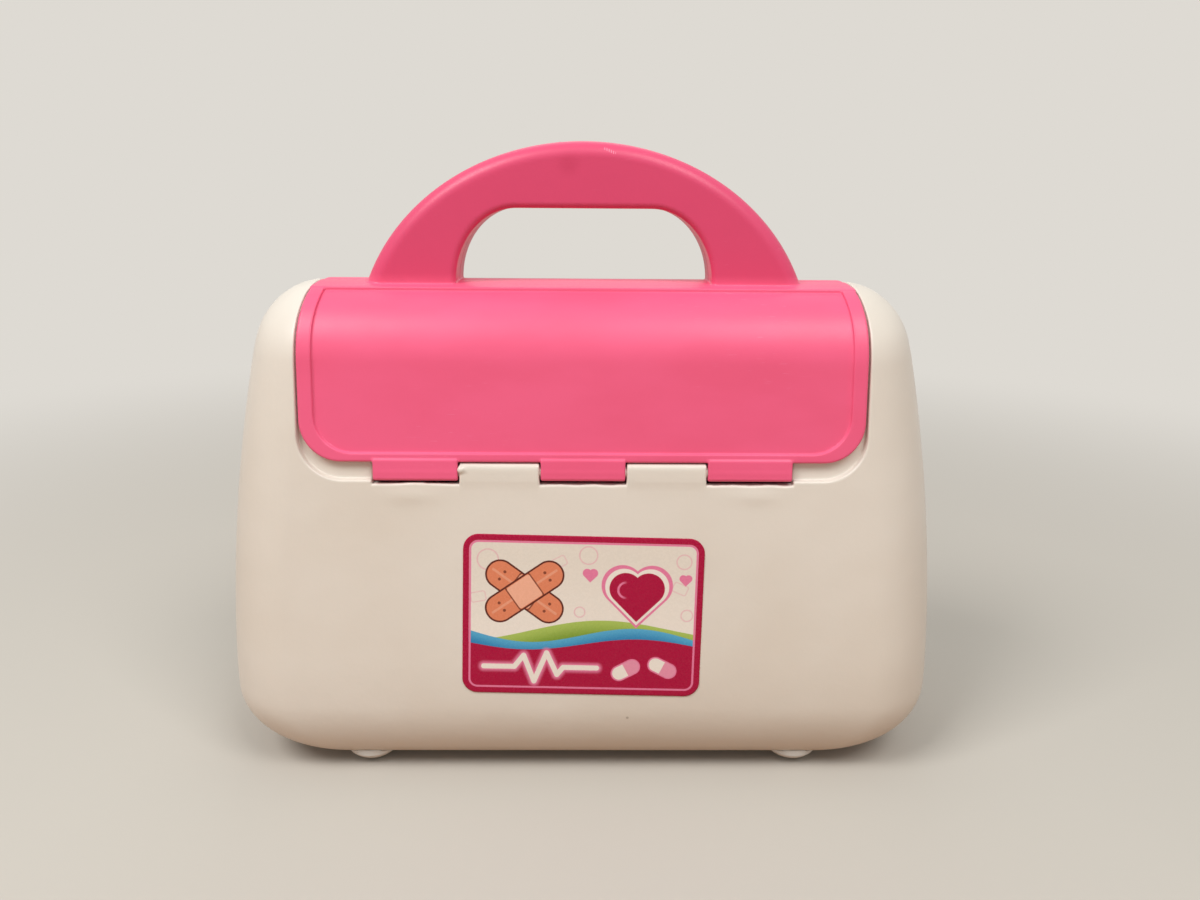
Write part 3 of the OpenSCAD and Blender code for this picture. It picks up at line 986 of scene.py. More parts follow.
@dataclass
class CaseShell:
    """The white shell: recesses for the doors, the mouth, the knuckle notches and the hinge tabs."""

    plan: DoorPlan
    wall: float = 2.0
    ledge_w: float = 6.0
    ledge_h: float = 4.0
    mouth_r: float = 10.0
    recess_foot_z: float = 103.3
    recess_r: float = 14.0
    notch_z: float = 101.9
    notch_half_w: float = 13.95
    notch_back_y: float = 31.46
    notch_top_z: float = 109.3
    tab_r: float = 3.0
    tab_half_w: float = 12.75
    tab_web: float = 9.0
    tab_out: float = 0.3
    edge_k: float = 0.7
    trim_d: float = 36.3
    sag_h: float = 0.5
    sag_w: float = 8.0
    waves: tuple[tuple[float, float, float], ...] = ((0.1, 0.55, 0.0), (0.07, 1.7, 1.0))
    nub_x: float = -38.9
    nub_z: float = 106.6
    nub_r: float = 1.25
    nub_back: float = 1.5
    tab_foot_h: float = 1.5
    tab_fade_h: float = 2.5
    parting_h: float = 0.16
    parting_w: float = 0.45
    parting_z: float = 60.0
    parting_fade_h: float = 30.0
    bulge_h: float = 0.3
    bulge_shift: float = 2.0
    bulge_w: float = 8.0
    bulge_z: float = 98.4
    bulge_tall: float = 2.6
    bulge_from: float = 20.0
    rim_near: float = 2.5
    rim_fade: float = 1.5
    notch_k: float = 0.5
    web_k: float = 0.4
    joint_k: float = 0.3
    tab_end_k: float = 0.6
    tab_front_k: float = 0.8
    nub_k: float = 0.5
    mouth_k: float = 0.9
    bore_k: float = 0.15

    def notch(self, x: Numbers, d: Numbers, z: Numbers) -> Numbers:
        """Depth inside the notches that clear the knuckles, with a slightly wavy lower edge.

        Args:
            x: Sideways place.
            d: Distance from the middle, front or rear.
            z: Height.

        Returns:
            The depth.
        """
        near = self.plan.from_knuckle(x)
        swell = self.sag_h * np.exp(-((near / self.sag_w) ** 2)) * (x < -self.plan.knuckle_w)
        ripple = sum(height * np.sin(x * rate + start) for height, rate, start in self.waves)
        wave = (ripple + swell) * (d > self.trim_d)
        middle, half = (self.notch_z + self.notch_top_z) / 2, (self.notch_top_z - self.notch_z) / 2
        opening = block([(near, 0.0, self.notch_half_w), (z - wave, middle, half)], self.notch_k)
        return smooth_max(opening, self.notch_back_y - d, self.notch_k)

    def tabs(self, x: Numbers, d: Numbers, z: Numbers) -> Numbers:
        """Depth inside the tabs that carry the pins, with the trimmed nub on one corner.

        Args:
            x: Sideways place.
            d: Distance from the middle, front or rear.
            z: Height.

        Returns:
            The depth.
        """
        plan = self.plan
        across = np.abs(np.abs(x) - plan.knuckle_pitch / 2) - self.tab_half_w
        barrel = np.hypot(d - plan.hinge_y, z - plan.hinge_z) - self.tab_r
        half = self.tab_web / 2
        web = block([(d, plan.hinge_y, self.tab_r), (z, plan.hinge_z - half, half)], self.web_k)
        tabs = smooth_max(smooth_min(barrel, web, self.joint_k), across, self.tab_end_k)
        out = self.tab_out * np.clip((z - self.notch_z + self.tab_foot_h) / self.tab_fade_h, 0, 1)
        tabs = smooth_max(tabs, plan.profile.side_view(d, z) - out, self.tab_front_k)
        front = plan.hinge_y + self.tab_r - self.nub_back
        nub = np.sqrt((x - self.nub_x) ** 2 + (d - front) ** 2 + (z - self.nub_z) ** 2) - self.nub_r
        return smooth_min(tabs, nub, self.nub_k)

    def marks(self, x: Numbers, y: Numbers, z: Numbers) -> Numbers:
        """Height of the faint parting line and of the slight bulges below the outer notches.

        Args:
            x: Sideways place.
            y: Front-to-rear place.
            z: Height.

        Returns:
            The height.
        """
        fade = np.clip((z - self.parting_z) / self.parting_fade_h, 0, 1)
        parting = self.parting_h * np.exp(-((y / self.parting_w) ** 2)) * fade
        away = (np.abs(x) - self.plan.knuckle_pitch - self.bulge_shift) / self.bulge_w
        bulge = self.bulge_h * np.exp(-(away**2) - ((z - self.bulge_z) / self.bulge_tall) ** 2)
        return parting + bulge * (np.abs(y) > self.bulge_from)

    def depth(self, x: Numbers, y: Numbers, z: Numbers) -> Numbers:
        """Depth inside the whole shell.

        Args:
            x: Sideways place.
            y: Front-to-rear place.
            z: Height.

        Returns:
            The depth.
        """
        plan, profile = self.plan, self.plan.profile
        d = np.abs(y)
        seat = plan.thickness + plan.seat_gap
        outer = profile.outer(x, y, z)
        rim = plan.outline(x, z, plan.side_gap, self.recess_foot_z, self.recess_r)
        wall = self.wall + seat * np.clip((self.rim_near - rim) / self.rim_fade, 0, 1)
        skin = smooth_max(outer - self.marks(x, y, z), -(outer + wall), self.joint_k)
        recess = smooth_max(rim, -(profile.side_view(y, z) + seat), self.notch_k)
        low = plan.foot_z + self.ledge_h - z
        mouth = round_max(np.abs(x) - plan.half_w + self.ledge_w, low, self.mouth_r)
        body = smooth_max(skin, -recess, self.edge_k)
        body = smooth_max(body, -mouth, self.mouth_k)
        body = smooth_max(body, -self.notch(x, d, z), self.edge_k)
        body = smooth_min(body, self.tabs(x, d, z), self.joint_k)
        bore = np.hypot(d - plan.hinge_y, z - plan.hinge_z) - plan.bore_r
        return smooth_max(body, -np.maximum(bore, np.abs(x) - plan.pin_end), self.bore_k)

    def net(self) -> Net:
        """Grid lines, close together where the edges are.

        Returns:
            The net.
        """
        notch, outer = self.notch_half_w, self.plan.knuckle_pitch - self.notch_half_w
        far = self.plan.knuckle_pitch + self.notch_half_w
        xs = lines(
            0.0, (notch - 1.0, 3.0), (notch + 1.6, 0.37), (outer - 1.6, 3.0), (outer + 1.0, 0.37),
            (far - 1.0, 3.0), (far + 1.0, 0.37), (77.0, 1.5), (93.0, 0.5), (122.2, 0.97),
        )
        ys = lines(0.0, (1.4, 0.28), (31.0, 1.15), (40.6, 0.42), (42.0, 0.7))
        zs = lines(
            3.0, (8.0, 0.7), (28.0, 1.05), (88.0, 4.0), (100.6, 1.4), (117.5, 0.42), (124.0, 1.2),
            (140.0, 3.0), (157.0, 1.05), (164.2, 0.42),
        )
        return Net(self.depth, both_sides(xs), both_sides(ys), zs, self.plan.profile.reach)

    def build(self, finish: bpy.types.Material) -> bpy.types.Object:
        """Builds the shell and dresses it."""
        return dress(net_object("case_shell", self.net(), finish), "case", "body")


@dataclass
class Door:
    """One pink moulding: the flap with its knuckles, half of the strip and half of the handle."""

    plan: DoorPlan
    rim_w: float = 4.8
    rim_foot: float = 2.9
    panel_sink: float = 0.9
    panel_foot_r: float = 12.0
    panel_top_r: float = 1.2
    lip_drop: float = 0.05
    lip_fillet: float = 0.35
    lip_r: float = 0.35
    handle_z: float = 207.6
    handle_a: float = 76.6
    handle_mid_z: float = 140.0
    handle_depth: float = 11.0
    grip_half_w: float = 42.3
    grip_z: float = 186.8
    grip_r: float = 20.5
    grip_rise: float = 24.2
    edge_r: float = 5.0
    grip_edge_r: float = 2.0
    wall: float = 2.0
    rib_t: float = 1.2
    rib_pitch: float = 20.0
    rib_back: float = 1.0
    blade_t: float = 2.0
    blade_h: float = 6.0
    blade_out: float = 3.5
    blade_rise: float = 9.0
    blade_fit: float = 0.06
    base_k: float = 0.7
    rim_k: float = 1.0
    plate_top_k: float = 0.9
    edge_k: float = 0.6
    under_k: float = 0.5
    panel_k: float = 0.4
    joint_k: float = 0.3
    rib_k: float = 0.25
    bore_k: float = 0.15
    hollow_foot: float = 0.5
    lip_back: float = 2.0
    burr_x: float = -8.0
    burr_y: float = -1.1
    burr_h: float = 0.35
    burr_w: float = 0.9
    burr_d: float = 0.8
    leg_sink: float = 1.2
    plate_out: float = 0.45
    plate_foot_z: float = 103.1
    plate_top_z: float = 110.3
    plate_r: float = 1.2
    barrel_r: float = 2.25

    @property
    def blade_x(self) -> float:
        """Sideways place of the catch blade, midway in the handle's leg."""
        height = self.plan.profile.crown_z + self.blade_rise - self.handle_mid_z
        rise = height / (self.handle_z - self.handle_mid_z)
        return (self.grip_half_w + self.handle_a * math.sqrt(1 - rise * rise)) / 2

    def flap(self, x: Numbers, y: Numbers, z: Numbers) -> Numbers:
        """Depth inside the flap with its raised rim, its sunk panel and the lip of the strip.

        Args:
            x: Sideways place.
            y: Front-to-rear place.
            z: Height.

        Returns:
            The depth.
        """
        plan, profile = self.plan, self.plan.profile
        side = profile.side_view(y, z)
        skin = smooth_max(side, -(side + plan.thickness), self.joint_k)
        rim = plan.outline(x, z, 0.0, plan.foot_z, plan.corner_r)
        flap = smooth_max(skin, rim, self.rim_k)
        top = profile.lip_depth + plan.lip_out - np.abs(y)
        low = plan.foot_z + self.rim_foot - z
        panel = round_max(np.abs(x) - plan.drawn(z) + self.rim_w, low, self.panel_foot_r)
        panel = round_max(panel, top, self.panel_top_r)
        sink = smooth_max(panel, -(side + self.panel_sink), self.panel_k)
        flap = smooth_max(flap, -sink, self.edge_k)
        return smooth_min(flap, self.lip(x, y, z), self.lip_fillet)

    def lip(self, x: Numbers, y: Numbers, z: Numbers) -> Numbers:
        """Depth inside the plate of the strip, whose front edge stands out over the panel.

        Args:
            x: Sideways place.
            y: Front-to-rear place.
            z: Height.

        Returns:
            The depth.
        """
        plan, profile = self.plan, self.plan.profile
        under = profile.crown_z - profile.crown_r
        crown = np.hypot(y, z - under) - profile.crown_r
        front = np.abs(y) - profile.lip_depth - plan.lip_out
        plate = round_max(crown + self.lip_drop, front, self.lip_r)
        plate = smooth_max(plate, -(crown + plan.lip_h), self.under_k)
        plate = smooth_max(plate, profile.lip_depth - self.lip_back - np.abs(y), self.joint_k)
        return smooth_max(plate, np.abs(x) - plan.strip_half_w, self.lip_r)

    def knuckles(self, x: Numbers, y: Numbers, z: Numbers) -> Numbers:
        """Depth inside the knuckles: flat plates on the flap's foot, with a barrel behind.

        Args:
            x: Sideways place.
            y: Front-to-rear place.
            z: Height.

        Returns:
            The depth.
        """
        plan = self.plan
        barrel = plan.from_hinge(y, z) - self.barrel_r
        side = plan.profile.side_view(y, z)
        plate = round_max(side - self.plate_out, self.plate_foot_z - z, self.plate_r)
        plate = smooth_max(plate, z - self.plate_top_z, self.plate_top_k)
        plate = smooth_max(plate, -(side + plan.thickness), self.joint_k)
        across = np.abs(plan.from_knuckle(x)) - plan.knuckle_w / 2
        return smooth_max(smooth_min(barrel, plate, self.under_k), across, self.edge_k)

    def arch(self, x: Numbers, y: Numbers, z: Numbers) -> Numbers:
        """Depth inside the outside form of the handle half.

        Args:
            x: Sideways place.
            y: Front-to-rear place.
            z: Height.

        Returns:
            The depth.
        """
        b = self.handle_z - self.handle_mid_z
        u, v = x / self.handle_a, np.maximum(z - self.handle_mid_z, 0.1) / b
        size = u * u + v * v
        outer = (size - 1) / (2 * np.sqrt((u / self.handle_a) ** 2 + (v / b) ** 2))
        front = -y - self.handle_depth
        grip = self.grip(x, z)
        return round_max(round_max(outer, front, self.edge_r), -grip, self.grip_edge_r)

    def grip(self, x: Numbers, z: Numbers) -> Numbers:
        """Depth inside the finger opening, whose upper corners are quarters of an ellipse.

        Args:
            x: Sideways place.
            z: Height.

        Returns:
            The depth.
        """
        p = np.abs(x) - self.grip_half_w + self.grip_r
        q = np.maximum(z - self.grip_z + self.grip_rise, 0.0)
        u, v = np.maximum(p, 0.01) / self.grip_r, q / self.grip_rise
        size = u * u + v * v
        slope = np.maximum(2 * np.hypot(u / self.grip_r, v / self.grip_rise), 0.02)
        return np.where(p > 0, (size - 1) / slope, z - self.grip_z)

    def inside(self, x: Numbers, y: Numbers, z: Numbers, arch: Numbers) -> Numbers:
        """Depth inside the hollow of the handle half, less the ribs.

        Args:
            x: Sideways place.
            y: Front-to-rear place.
            z: Height.
            arch: Depth inside the outside form.

        Returns:
            The depth.
        """
        plan = self.plan
        hollow = smooth_max(arch + self.wall, plan.profile.crown_z + self.hollow_foot - z, self.edge_k)
        nearest = self.rib_pitch * np.clip(np.round(x / self.rib_pitch), -1, 1)
        over = np.maximum(np.abs(x - nearest) - self.rib_t / 2, self.grip_z - z)
        over = np.maximum(over, y + plan.seam_gap + self.rib_back)
        offset = self.blade_t / 2 + self.blade_fit + self.rib_t / 2
        catch = np.abs(np.abs(x - self.blade_x) - offset) - self.rib_t / 2
        catch = np.maximum(catch, np.abs(z - plan.profile.crown_z) - 2 * self.blade_rise)
        ribs = np.minimum(over, np.maximum(catch, y + plan.seam_gap))
        return smooth_max(hollow, -ribs, self.rib_k)

    def blade(self, x: Numbers, y: Numbers, z: Numbers) -> Numbers:
        """Depth inside the catch blade that reaches into the other handle half.

        Args:
            x: Sideways place.
            y: Front-to-rear place.
            z: Height.

        Returns:
            The depth.
        """
        back, front = self.blade_out, self.handle_depth - self.wall / 2
        height = self.plan.profile.crown_z + self.blade_rise
        spans = [
            (x, -self.blade_x, self.blade_t / 2),
            (y, (back - front) / 2, (back + front) / 2),
            (z, height, self.blade_h / 2),
        ]
        return block(spans, self.under_k)

    def burr(self, x: Numbers, y: Numbers, z: Numbers) -> Numbers:
        """Height of the trimmed gate mark on top of the handle, beside the seam."""
        away = ((x - self.burr_x) / self.burr_w) ** 2 + ((y - self.burr_y) / self.burr_d) ** 2
        return self.burr_h * np.exp(-away) * (z > self.grip_z)

    def depth(self, x: Numbers, y: Numbers, z: Numbers) -> Numbers:
        """Depth inside the whole moulding.

        Args:
            x: Sideways place.
            y: Front-to-rear place.
            z: Height.

        Returns:
            The depth.
        """
        plan = self.plan
        arch = self.arch(x, y, z)
        foot = plan.profile.crown_z - self.leg_sink - z
        handle = smooth_max(arch - self.burr(x, y, z), foot, self.under_k)
        door = smooth_min(self.flap(x, y, z), handle, self.base_k)
        door = smooth_max(door, -self.inside(x, y, z, arch), self.joint_k)
        door = smooth_max(door, y + plan.seam_gap / 2, self.panel_k)
        door = smooth_min(door, self.knuckles(x, y, z), self.panel_k)
        door = np.minimum(door, self.blade(x, y, z))
        reach = np.abs(x) - plan.knuckle_pitch - plan.knuckle_w
        return smooth_max(door, -np.maximum(plan.from_hinge(y, z) - plan.bore_r, reach), self.bore_k)

    def net(self) -> Net:
        """Grid lines, close together where the edges are.

        Returns:
            The net.
        """
        xs = lines(
            0.0, (6.5, 1.2), (9.5, 0.4), (12.4, 1.2), (14.2, 0.36), (39.8, 1.2), (44.8, 0.42),
            (52.4, 0.9), (57.6, 0.4), (68.0, 0.9), (70.6, 0.4), (80.0, 1.0), (91.0, 0.45),
        )
        ys = lines(-43.5, (-36.0, 0.4), (-24.5, 0.9), (-10.0, 1.0), (0.9, 0.6), (12.0, 1.5))
        zs = lines(
            101.8, (114.0, 0.4), (126.0, 1.2), (140.0, 2.8), (158.5, 1.1), (164.6, 0.36),
            (184.0, 1.0), (189.6, 0.5), (190.2, 0.7), (209.0, 0.9),
        )
        return Net(self.depth, both_sides(xs), ys, zs, self.plan.profile.reach)

    def build(self, finish: bpy.types.Material) -> list[bpy.types.Object]:
        """Builds both doors from one mould and dresses them.

        Args:
            finish: Their material.

        Returns:
            Both doors.
        """
        front = net_object("front_door_moulding", self.net(), finish)
        rear = linked("rear_door_moulding", front.data)
        rear.matrix_world = Matrix.Rotation(math.pi, 4, "Z")
        doors = ((front, "front_door"), (rear, "rear_door"))
        return [dress(piece, node, node) for piece, node in doors]


@dataclass
class HingePin:
    """Straight rod with rounded ends through the tabs and the knuckles of one door."""

    plan: DoorPlan
    face: Face
    end_r: float = 0.5
    end_steps: int = 6
    tip_r: float = 0.4
    around: int = 32

    def build(self, finish: bpy.types.Material) -> bpy.types.Object:
        """Turns the rod about its own axis and dresses it.

        Args:
            finish: Its material.

        Returns:
            The rod.
        """
        plan, half = self.plan, self.plan.pin_end
        steps = [math.pi / 2 * k / self.end_steps for k in range(self.end_steps + 1)]
        ends = [
            (half - self.end_r * (1 - math.sin(a)), plan.pin_r - self.end_r * (1 - math.cos(a)))
            for a in steps
        ]
        ends.append((half, self.tip_r))
        turn = [2 * math.pi * k / self.around for k in range(self.around)]
        y, z = self.face.value * plan.hinge_y, plan.hinge_z
        form = bmesh.new()
        rings = [
            [form.verts.new(Vector((x, y + r * math.cos(a), z + r * math.sin(a))) * MM) for a in turn]
            for x, r in [(-x, r) for x, r in reversed(ends)] + ends
        ]
        join_rings(form, rings)
        form.faces.new(rings[0])
        form.faces.new(rings[-1])
        bmesh.ops.recalc_face_normals(form, faces=form.faces)
        node = f"{self.face.name.lower()}_hinge_pin"
        return dress(form_object(node + "_rod", form, finish), "case", node)


@dataclass
class Foot:
    """One soft dome under the case, whose top fits the rounded underside."""

    profile: CaseProfile
    face: Face
    end: End
    reach_x: float = 73.7
    reach_y: float = 31.5
    height: float = 4.0
    width: float = 18.0
    flat: float = 6.0
    margin: float = 1.5
    edge_k: float = 0.2
    flat_k: float = 0.3
    across: int = 44

    @property
    def x(self) -> float:
        """Sideways place of its middle."""
        return self.end.value * self.reach_x

    @property
    def y(self) -> float:
        """Front-to-rear place of its middle."""
        return self.face.value * self.reach_y

    def depth(self, x: Numbers, y: Numbers, z: Numbers) -> Numbers:
        """Depth inside the dome.

        Args:
            x: Sideways place.
            y: Front-to-rear place.
            z: Height.

        Returns:
            The depth.
        """
        h, w, f = self.height, self.width / 2, self.flat / 2
        rise = (w * w + h * h - f * f) / (2 * h)
        r = math.hypot(f, rise)
        dome = np.sqrt((x - self.x) ** 2 + (y - self.y) ** 2 + (z - rise) ** 2) - r
        side = np.hypot(x - self.x, y - self.y) - w
        dome = smooth_max(smooth_max(dome, side, self.edge_k), np.maximum(-z, z - 2 * h), self.flat_k)
        return smooth_max(dome, -self.profile.outer(x, y, z), self.edge_k)

    def build(self, finish: bpy.types.Material) -> bpy.types.Object:
        """Builds the dome and dresses it.

        Args:
            finish: Its material.

        Returns:
            The dome.
        """
        half = self.width / 2 + self.margin
        places = np.linspace(-half, half, self.across)
        net = Net(self.depth, self.x + places, self.y + places, lines(-0.5, (8.6, 0.3)), np.ones_like)
        node = f"{self.face.name}_{self.end.name}_foot".lower()
        return dress(net_object(node + "_dome", net, finish), "case", node)


@dataclass
class Label:
    """Printed sticker that follows the front face."""

    profile: CaseProfile
    width: float = 78.0
    height: float = 53.6
    foot_z: float = 32.4
    thickness: float = 0.3
    corner_r: float = 5.0
    turn: float = math.radians(-1.2)
    corner_steps: int = 10
    bevel: float = 0.08
    flat_insets: tuple[float, ...] = (0.6, 3.0)

    def outline(self, inset: float) -> list[tuple[float, float]]:
        """Points round the label, drawn in by an inset.

        Args:
            inset: How far it is drawn in.

        Returns:
            The points.
        """
        r = self.corner_r - inset
        w, h = self.width / 2 - self.corner_r, self.height / 2 - self.corner_r
        points = []
        for quarter, (sx, sy) in enumerate(((1, 1), (-1, 1), (-1, -1), (1, -1))):
            for k in range(self.corner_steps + 1):
                a = math.pi / 2 * (quarter + k / self.corner_steps)
                points.append((sx * w + r * math.cos(a), sy * h + r * math.sin(a)))
        return points

    def on_face(self, a: float, b: float, rise: float) -> Vector:
        """Point on the face of the case.

        Args:
            a: Place across the label from its middle.
            b: Place up the label from its middle.
            rise: Distance out of the face.

        Returns:
            The point in metres.
        """
        lean = self.profile.lean
        c, s = math.cos(self.turn), math.sin(self.turn)
        across, up = a * c - b * s, a * s + b * c
        z = self.foot_z + (self.height / 2 + up) * math.cos(lean)
        y = -float(self.profile.half_depth(np.array([z]))[0])
        return Vector((across, y - rise * math.cos(lean), z + rise * math.sin(lean))) * MM

    def build(self, finish: bpy.types.Material) -> bpy.types.Object:
        """Builds the sticker and dresses it.

        Args:
            finish: Its material.

        Returns:
            The sticker.
        """
        form = bmesh.new()
        layer = form.loops.layers.uv.new("print")
        flat = {}
        top = self.thickness
        rows = [(0.0, 0.0), (0.0, top - self.bevel), (self.bevel, top)]
        rings = []
        for inset, rise in rows + [(inset, top) for inset in self.flat_insets]:
            places = self.outline(inset)
            rings.append([form.verts.new(self.on_face(a, b, rise)) for a, b in places])
            flat.update(zip(rings[-1], places))
        join_rings(form, rings)
        caps = [form.faces.new(rings[-1]), form.faces.new(rings[0][::-1])]
        for face in form.faces:
            for loop in face.loops:
                loop[layer].uv = flat[loop.vert]
        bmesh.ops.triangulate(form, faces=caps)
        return dress(form_object("front_label", form, finish), "case", "label")


@dataclass(frozen=True)
class LabelPrint:
    """Print of the label: a heart, crossed plasters and a pulse line over coloured waves."""

    name: str = "label_print"
    border: Color = tint(170, 0, 58)
    ground: Color = tint(226, 217, 205)
    pale: Color = tint(226, 124, 160)
    blue: Color = tint(44, 130, 182)
    sea: Color = tint(84, 168, 208)
    green: Color = tint(120, 152, 48)
    meadow: Color = tint(168, 192, 92)
    white: Color = tint(236, 228, 218)
    skin: Color = tint(222, 132, 96)
    glow: Color = tint(238, 176, 148)
    brown: Color = tint(92, 34, 22)
    half_w: float = Label.width / 2
    half_h: float = Label.height / 2
    corner_r: float = Label.corner_r
    border_w: float = 2.0
    line_w: float = 0.65
    rings: tuple[tuple[float, float, float], ...] = (
        (-31.0, 18.5, 3.4), (32.5, 19.0, 2.4), (1.5, 20.5, 2.9), (-1.0, 1.5, 1.7), (34.0, 1.0, 1.9),
    )
    chips: tuple[tuple[float, float, float], ...] = (
        (-8.0, 18.0, 0.5), (31.5, 10.0, -0.4), (-34.0, 6.0, 0.2),
    )
    capsules: tuple[tuple[float, float, float], ...] = ((14.5, -18.0, 0.5), (26.5, -17.0, -0.45))
    beat: tuple[tuple[float, float], ...] = (
        (-32.0, -17.5), (-22.0, -17.5), (-19.0, -13.6), (-15.5, -22.4), (-11.5, -12.6),
        (-8.0, -20.0), (-6.0, -17.5), (5.0, -17.5),
    )

    def material(self) -> bpy.types.Material:
        """Builds the material.

        Returns:
            The material.
        """
        paint = Paint(self.name)
        uv = Socket(paint, paint.node("ShaderNodeUVMap", {"uv_map": "print"}, {}).outputs[0])
        a, b, _ = paint.split(uv)
        color = self.picture(paint, a, b)
        dust = paint.noise(paint.place(), 900.0, 2.0)
        return paint.finish(
            Base_Color=color,
            Roughness=dust.fade(0.3, 0.75, 0.22, 0.34),
            Normal=paint.bump(paint.noise(paint.place(), 260.0, 2.0), 0.00004),
            Specular_IOR_Level=0.3,
        )

    def picture(self, paint: Paint, a: Socket, b: Socket) -> Socket:
        """Colours of the print at a place in millimetres from the middle.

        Args:
            paint: Material or world that gets the nodes.
            a: Place across.
            b: Place up.

        Returns:
            The colour.
        """
        art = Stencil(paint, a, b)
        color = self.hearts(art, self.plasters(art, self.country(art)))
        return self.frame(art, self.pulse(art, color))

    def country(self, art: Stencil) -> Socket:
        """Ground with faint rings, a green hill, a blue wave and the magenta field.

        Args:
            art: Shapes on the label.

        Returns:
            The colour.
        """
        color = art.paint.mix(art.b.fade(-10.0, 24.0), self.white, self.ground)
        for x, y, r in self.rings:
            color = art.ink(color, abs(art.disc(x, y, r)) - 0.22, self.pale, 0.4)
        for x, y, angle in self.chips:
            color = art.ink(color, abs(art.slab(x, y, 2.4, 1.6, angle, 0.7)) - 0.2, self.pale, 0.3)
        wave = (art.a * 0.085).sin() * 2.6
        hill = art.b - (art.a * 0.07 + 1.2).sin() * 3.2 + 4.6 - art.a * 0.03
        color = art.ink(color, hill, art.paint.mix(hill.fade(-6.0, 0.0), self.green, self.meadow))
        swell = art.b - wave * 1.2 + 6.4 + art.a * 0.03
        color = art.ink(color, swell, art.paint.mix(swell.fade(-4.0, 0.0), self.blue, self.sea))
        return art.ink(color, art.b - wave * 0.8 + 9.5, self.border)

    def plasters(self, art: Stencil, color: Socket) -> Socket:
        """Two crossed plasters with their pads and air holes.

        Args:
            art: Shapes on the label.
            color: What is printed so far.

        Returns:
            The colour.
        """
        x, y, tilt = -19.0, 8.0, 0.62
        for angle in (-tilt, tilt):
            strip = art.slab(x, y, 14.0, 4.3, angle, 4.2)
            color = art.ink(color, strip - 0.6, self.brown)
            color = art.ink(color, strip, self.skin)
            color = art.ink(color, art.slab(x, y, 13.0, 0.5, angle, 0.5) + 0.1, self.glow, 0.5)
            color = art.ink(color, abs(art.slab(x, y, 4.6, 4.6, angle, 0.8)) - 0.25, self.brown, 0.8)
            color = art.ink(color, art.slab(x, y, 4.4, 4.1, angle, 0.8), self.glow)
            for reach in (-9.0, 9.0):
                spot = (x + reach * math.cos(angle), y + reach * math.sin(angle))
                for side in (-1.5, 1.5):
                    hole_x, hole_y = spot[0] - side * math.sin(angle), spot[1] + side * math.cos(angle)
                    color = art.ink(color, art.disc(hole_x, hole_y, 0.5), self.brown, 0.8)
        return color

    def hearts(self, art: Stencil, color: Socket) -> Socket:
        """Large heart in an outline with a small one beside it.

        Args:
            art: Shapes on the label.
            color: What is printed so far.

        Returns:
            The colour.
        """
        for width, ink in ((23.2, self.pale), (20.8, self.white), (18.0, self.border)):
            color = art.ink(color, art.heart(17.5, 6.0, width), ink)
        color = art.ink(color, abs(art.disc(14.0, 9.2, 2.6)) - 0.35, self.pale, art.a.fade(14.5, 12.5))
        color = art.ink(color, art.heart(2.2, 13.6, 5.0), self.pale)
        return art.ink(color, art.heart(33.2, 12.6, 4.2), self.pale)

    def pulse(self, art: Stencil, color: Socket) -> Socket:
        """White pulse line with a glow, and two capsules, on the magenta field.

        Args:
            art: Shapes on the label.
            color: What is printed so far.

        Returns:
            The colour.
        """
        line = art.trail(self.beat, 0.85)
        color = art.paint.mix(line.fade(1.5, -0.1), color, self.pale)
        color = art.ink(color, line, self.white)
        for x, y, angle in self.capsules:
            pill = art.slab(x, y, 4.6, 2.2, angle, 2.2)
            color = art.ink(color, pill - 0.5, self.pale)
            color = art.ink(color, pill, self.white)
            half = pill.max(-art.turned(x, y, angle)[0])
            color = art.ink(color, half, self.pale, 0.85)
        return color

    def frame(self, art: Stencil, color: Socket) -> Socket:
        """Border and pale inner line round the picture.

        Args:
            art: Shapes on the label.
            color: What is printed so far.

        Returns:
            The colour.
        """
        edge = art.slab(0.0, 0.0, self.half_w, self.half_h, 0.0, self.corner_r)
        color = art.ink(color, -(edge + self.border_w), self.border)
        line = abs(edge + self.border_w + self.line_w / 2) - self.line_w / 2
        return art.ink(color, line, self.pale)


@dataclass(frozen=True)
class Lamp:
    """Soft square lamp: its place and side in metres, and its strength in watts."""

    name: str
    place: tuple[float, float, float]
    side: float
    watts: float
    color: Color = (1.0, 0.99, 0.97)

    def build(self, aim: Vector) -> None:
        """Adds the lamp.

        Args:
            aim: Point that it faces.
        """
        data = bpy.data.lights.new(self.name, "AREA")
        data.size = self.side
        data.energy = self.watts
        data.color = self.color
        lamp = linked(self.name, data)
        lamp.location = self.place
        lamp.rotation_euler = (aim - Vector(self.place)).to_track_quat("-Z", "Y").to_euler()


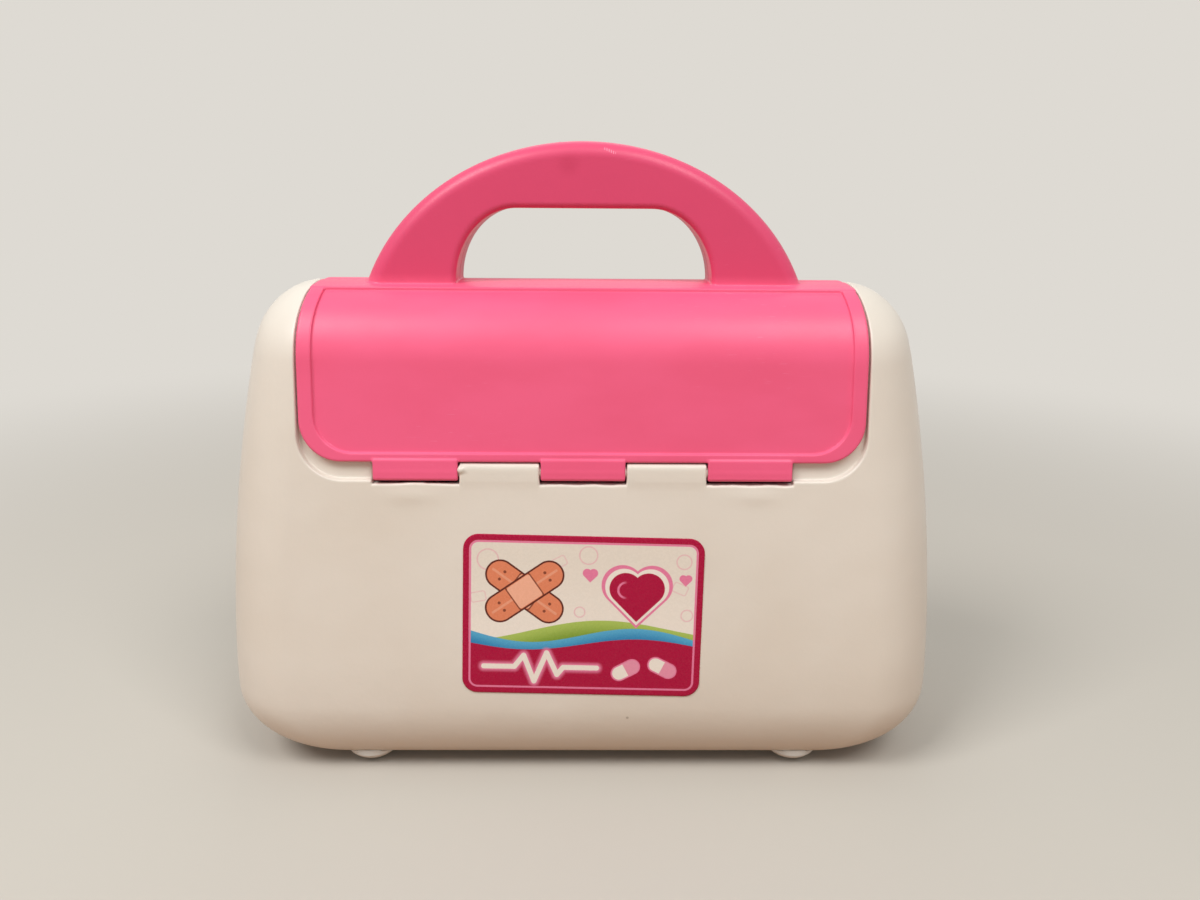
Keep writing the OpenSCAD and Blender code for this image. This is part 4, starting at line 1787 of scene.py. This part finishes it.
@dataclass(frozen=True)
class Studio:
    """Floor, lamps, sky and camera."""

    focal_px: float = 901.0
    image_w: float = 1200.0
    camera: tuple[float, float, float] = (0.002, -0.311, 0.1926)
    pitch: float = math.radians(16.1)
    yaw: float = math.radians(0.7)
    roll: float = math.radians(0.44)
    backdrop: Color = tint(222, 218, 211)
    floor_color: Color = tint(194, 189, 181)
    bounce: Color = tint(166, 132, 104)
    sky: float = 0.46
    sky_blue: float = 0.97
    near: float = 0.2
    far: float = 0.8
    aim: tuple[float, float, float] = (0.0, 0.0, 0.09)
    lamps: tuple[Lamp, ...] = (
        Lamp("lamp_left", (-0.62, -0.5, 1.08), 0.5, 9.4),
        Lamp("lamp_right", (0.44, -0.59, 1.1), 0.5, 6.2),
        Lamp("lamp_rear", (0.0, 0.9, 1.0), 0.7, 1.4),
    )

    def add_camera(self) -> None:
        """Puts the camera where the picture was taken from."""
        data = bpy.data.cameras.new("camera")
        data.sensor_width = 36.0
        data.lens = self.focal_px / self.image_w * data.sensor_width
        data.clip_start = 0.01
        eye = linked("camera", data)
        turn = Matrix.Rotation(-self.yaw, 4, "Z") @ Matrix.Rotation(math.pi / 2 - self.pitch, 4, "X")
        turn = turn @ Matrix.Rotation(self.roll, 4, "Z")
        eye.matrix_world = Matrix.Translation(self.camera) @ turn
        bpy.context.scene.camera = eye

    def add_floor(self) -> None:
        """Lays a plain pale floor that turns into the even backdrop away from the object."""
        form = bmesh.new()
        bmesh.ops.create_grid(form, x_segments=8, y_segments=8, size=6.0)
        paint = Paint("floor")
        seen = self.seen(paint)
        x, y, _ = paint.split(paint.place())
        away = ((x * x + y * y) ** 0.5).fade(self.near, self.far)
        black = (0.0, 0.0, 0.0)
        finish = paint.finish(
            Base_Color=paint.mix(seen, self.bounce, paint.mix(away, self.floor_color, black)),
            Roughness=0.8,
            Specular_IOR_Level=0.0,
            Emission_Color=paint.mix(away * seen, black, self.backdrop),
            Emission_Strength=1.0,
        )
        form_object("floor", form, finish)

    def seen(self, paint: Paint) -> Socket:
        """Tells rays that show the background, plain or mirrored, from those that light the object.

        Args:
            paint: Material or world that gets the nodes.

        Returns:
            1 for rays that show the background and 0 for the others.
        """
        rays = paint.node("ShaderNodeLightPath", {}, {}).outputs
        names = ("Is Camera Ray", "Is Glossy Ray", "Is Transmission Ray")
        camera, glossy, through = (Socket(paint, rays[name]) for name in names)
        return camera.max(glossy).max(through)

    def add_sky(self) -> None:
        """Gives an even surrounding light behind a pale backdrop."""
        world = bpy.data.worlds.new("sky")
        world.use_nodes = True
        paint = Paint.over(world.node_tree)
        ground = world.node_tree.nodes["Background"]
        grey = (self.sky, self.sky, self.sky * self.sky_blue)
        paint.feed(ground.inputs["Color"], paint.mix(self.seen(paint), grey, self.backdrop))
        bpy.context.scene.world = world

    def build(self) -> None:
        """Sets up the whole studio."""
        bpy.context.scene.view_settings.view_transform = "Standard"
        self.add_camera()
        self.add_floor()
        self.add_sky()
        for lamp in self.lamps:
            lamp.build(Vector(self.aim))


def main() -> None:
    """Builds the studio and every piece of the case, and reports each piece."""
    logging.basicConfig(level=logging.INFO, format="%(message)s")
    Studio().build()
    plan = DoorPlan()
    pieces = [CaseShell(plan).build(WhiteMoulding().material())]
    pieces += Door(plan).build(PinkMoulding().material())
    rod = PinRod().material()
    pieces += [HingePin(plan, face).build(rod) for face in Face]
    pieces.append(Label(plan.profile).build(LabelPrint().material()))
    rubber = FootRubber().material()
    pieces += [Foot(plan.profile, face, end).build(rubber) for face in Face for end in End]
    for piece in pieces:
        mesh = piece.data
        log.info("%s: %d points, %d faces", piece.name, len(mesh.vertices), len(mesh.polygons))


if __name__ == "__main__":
    main()
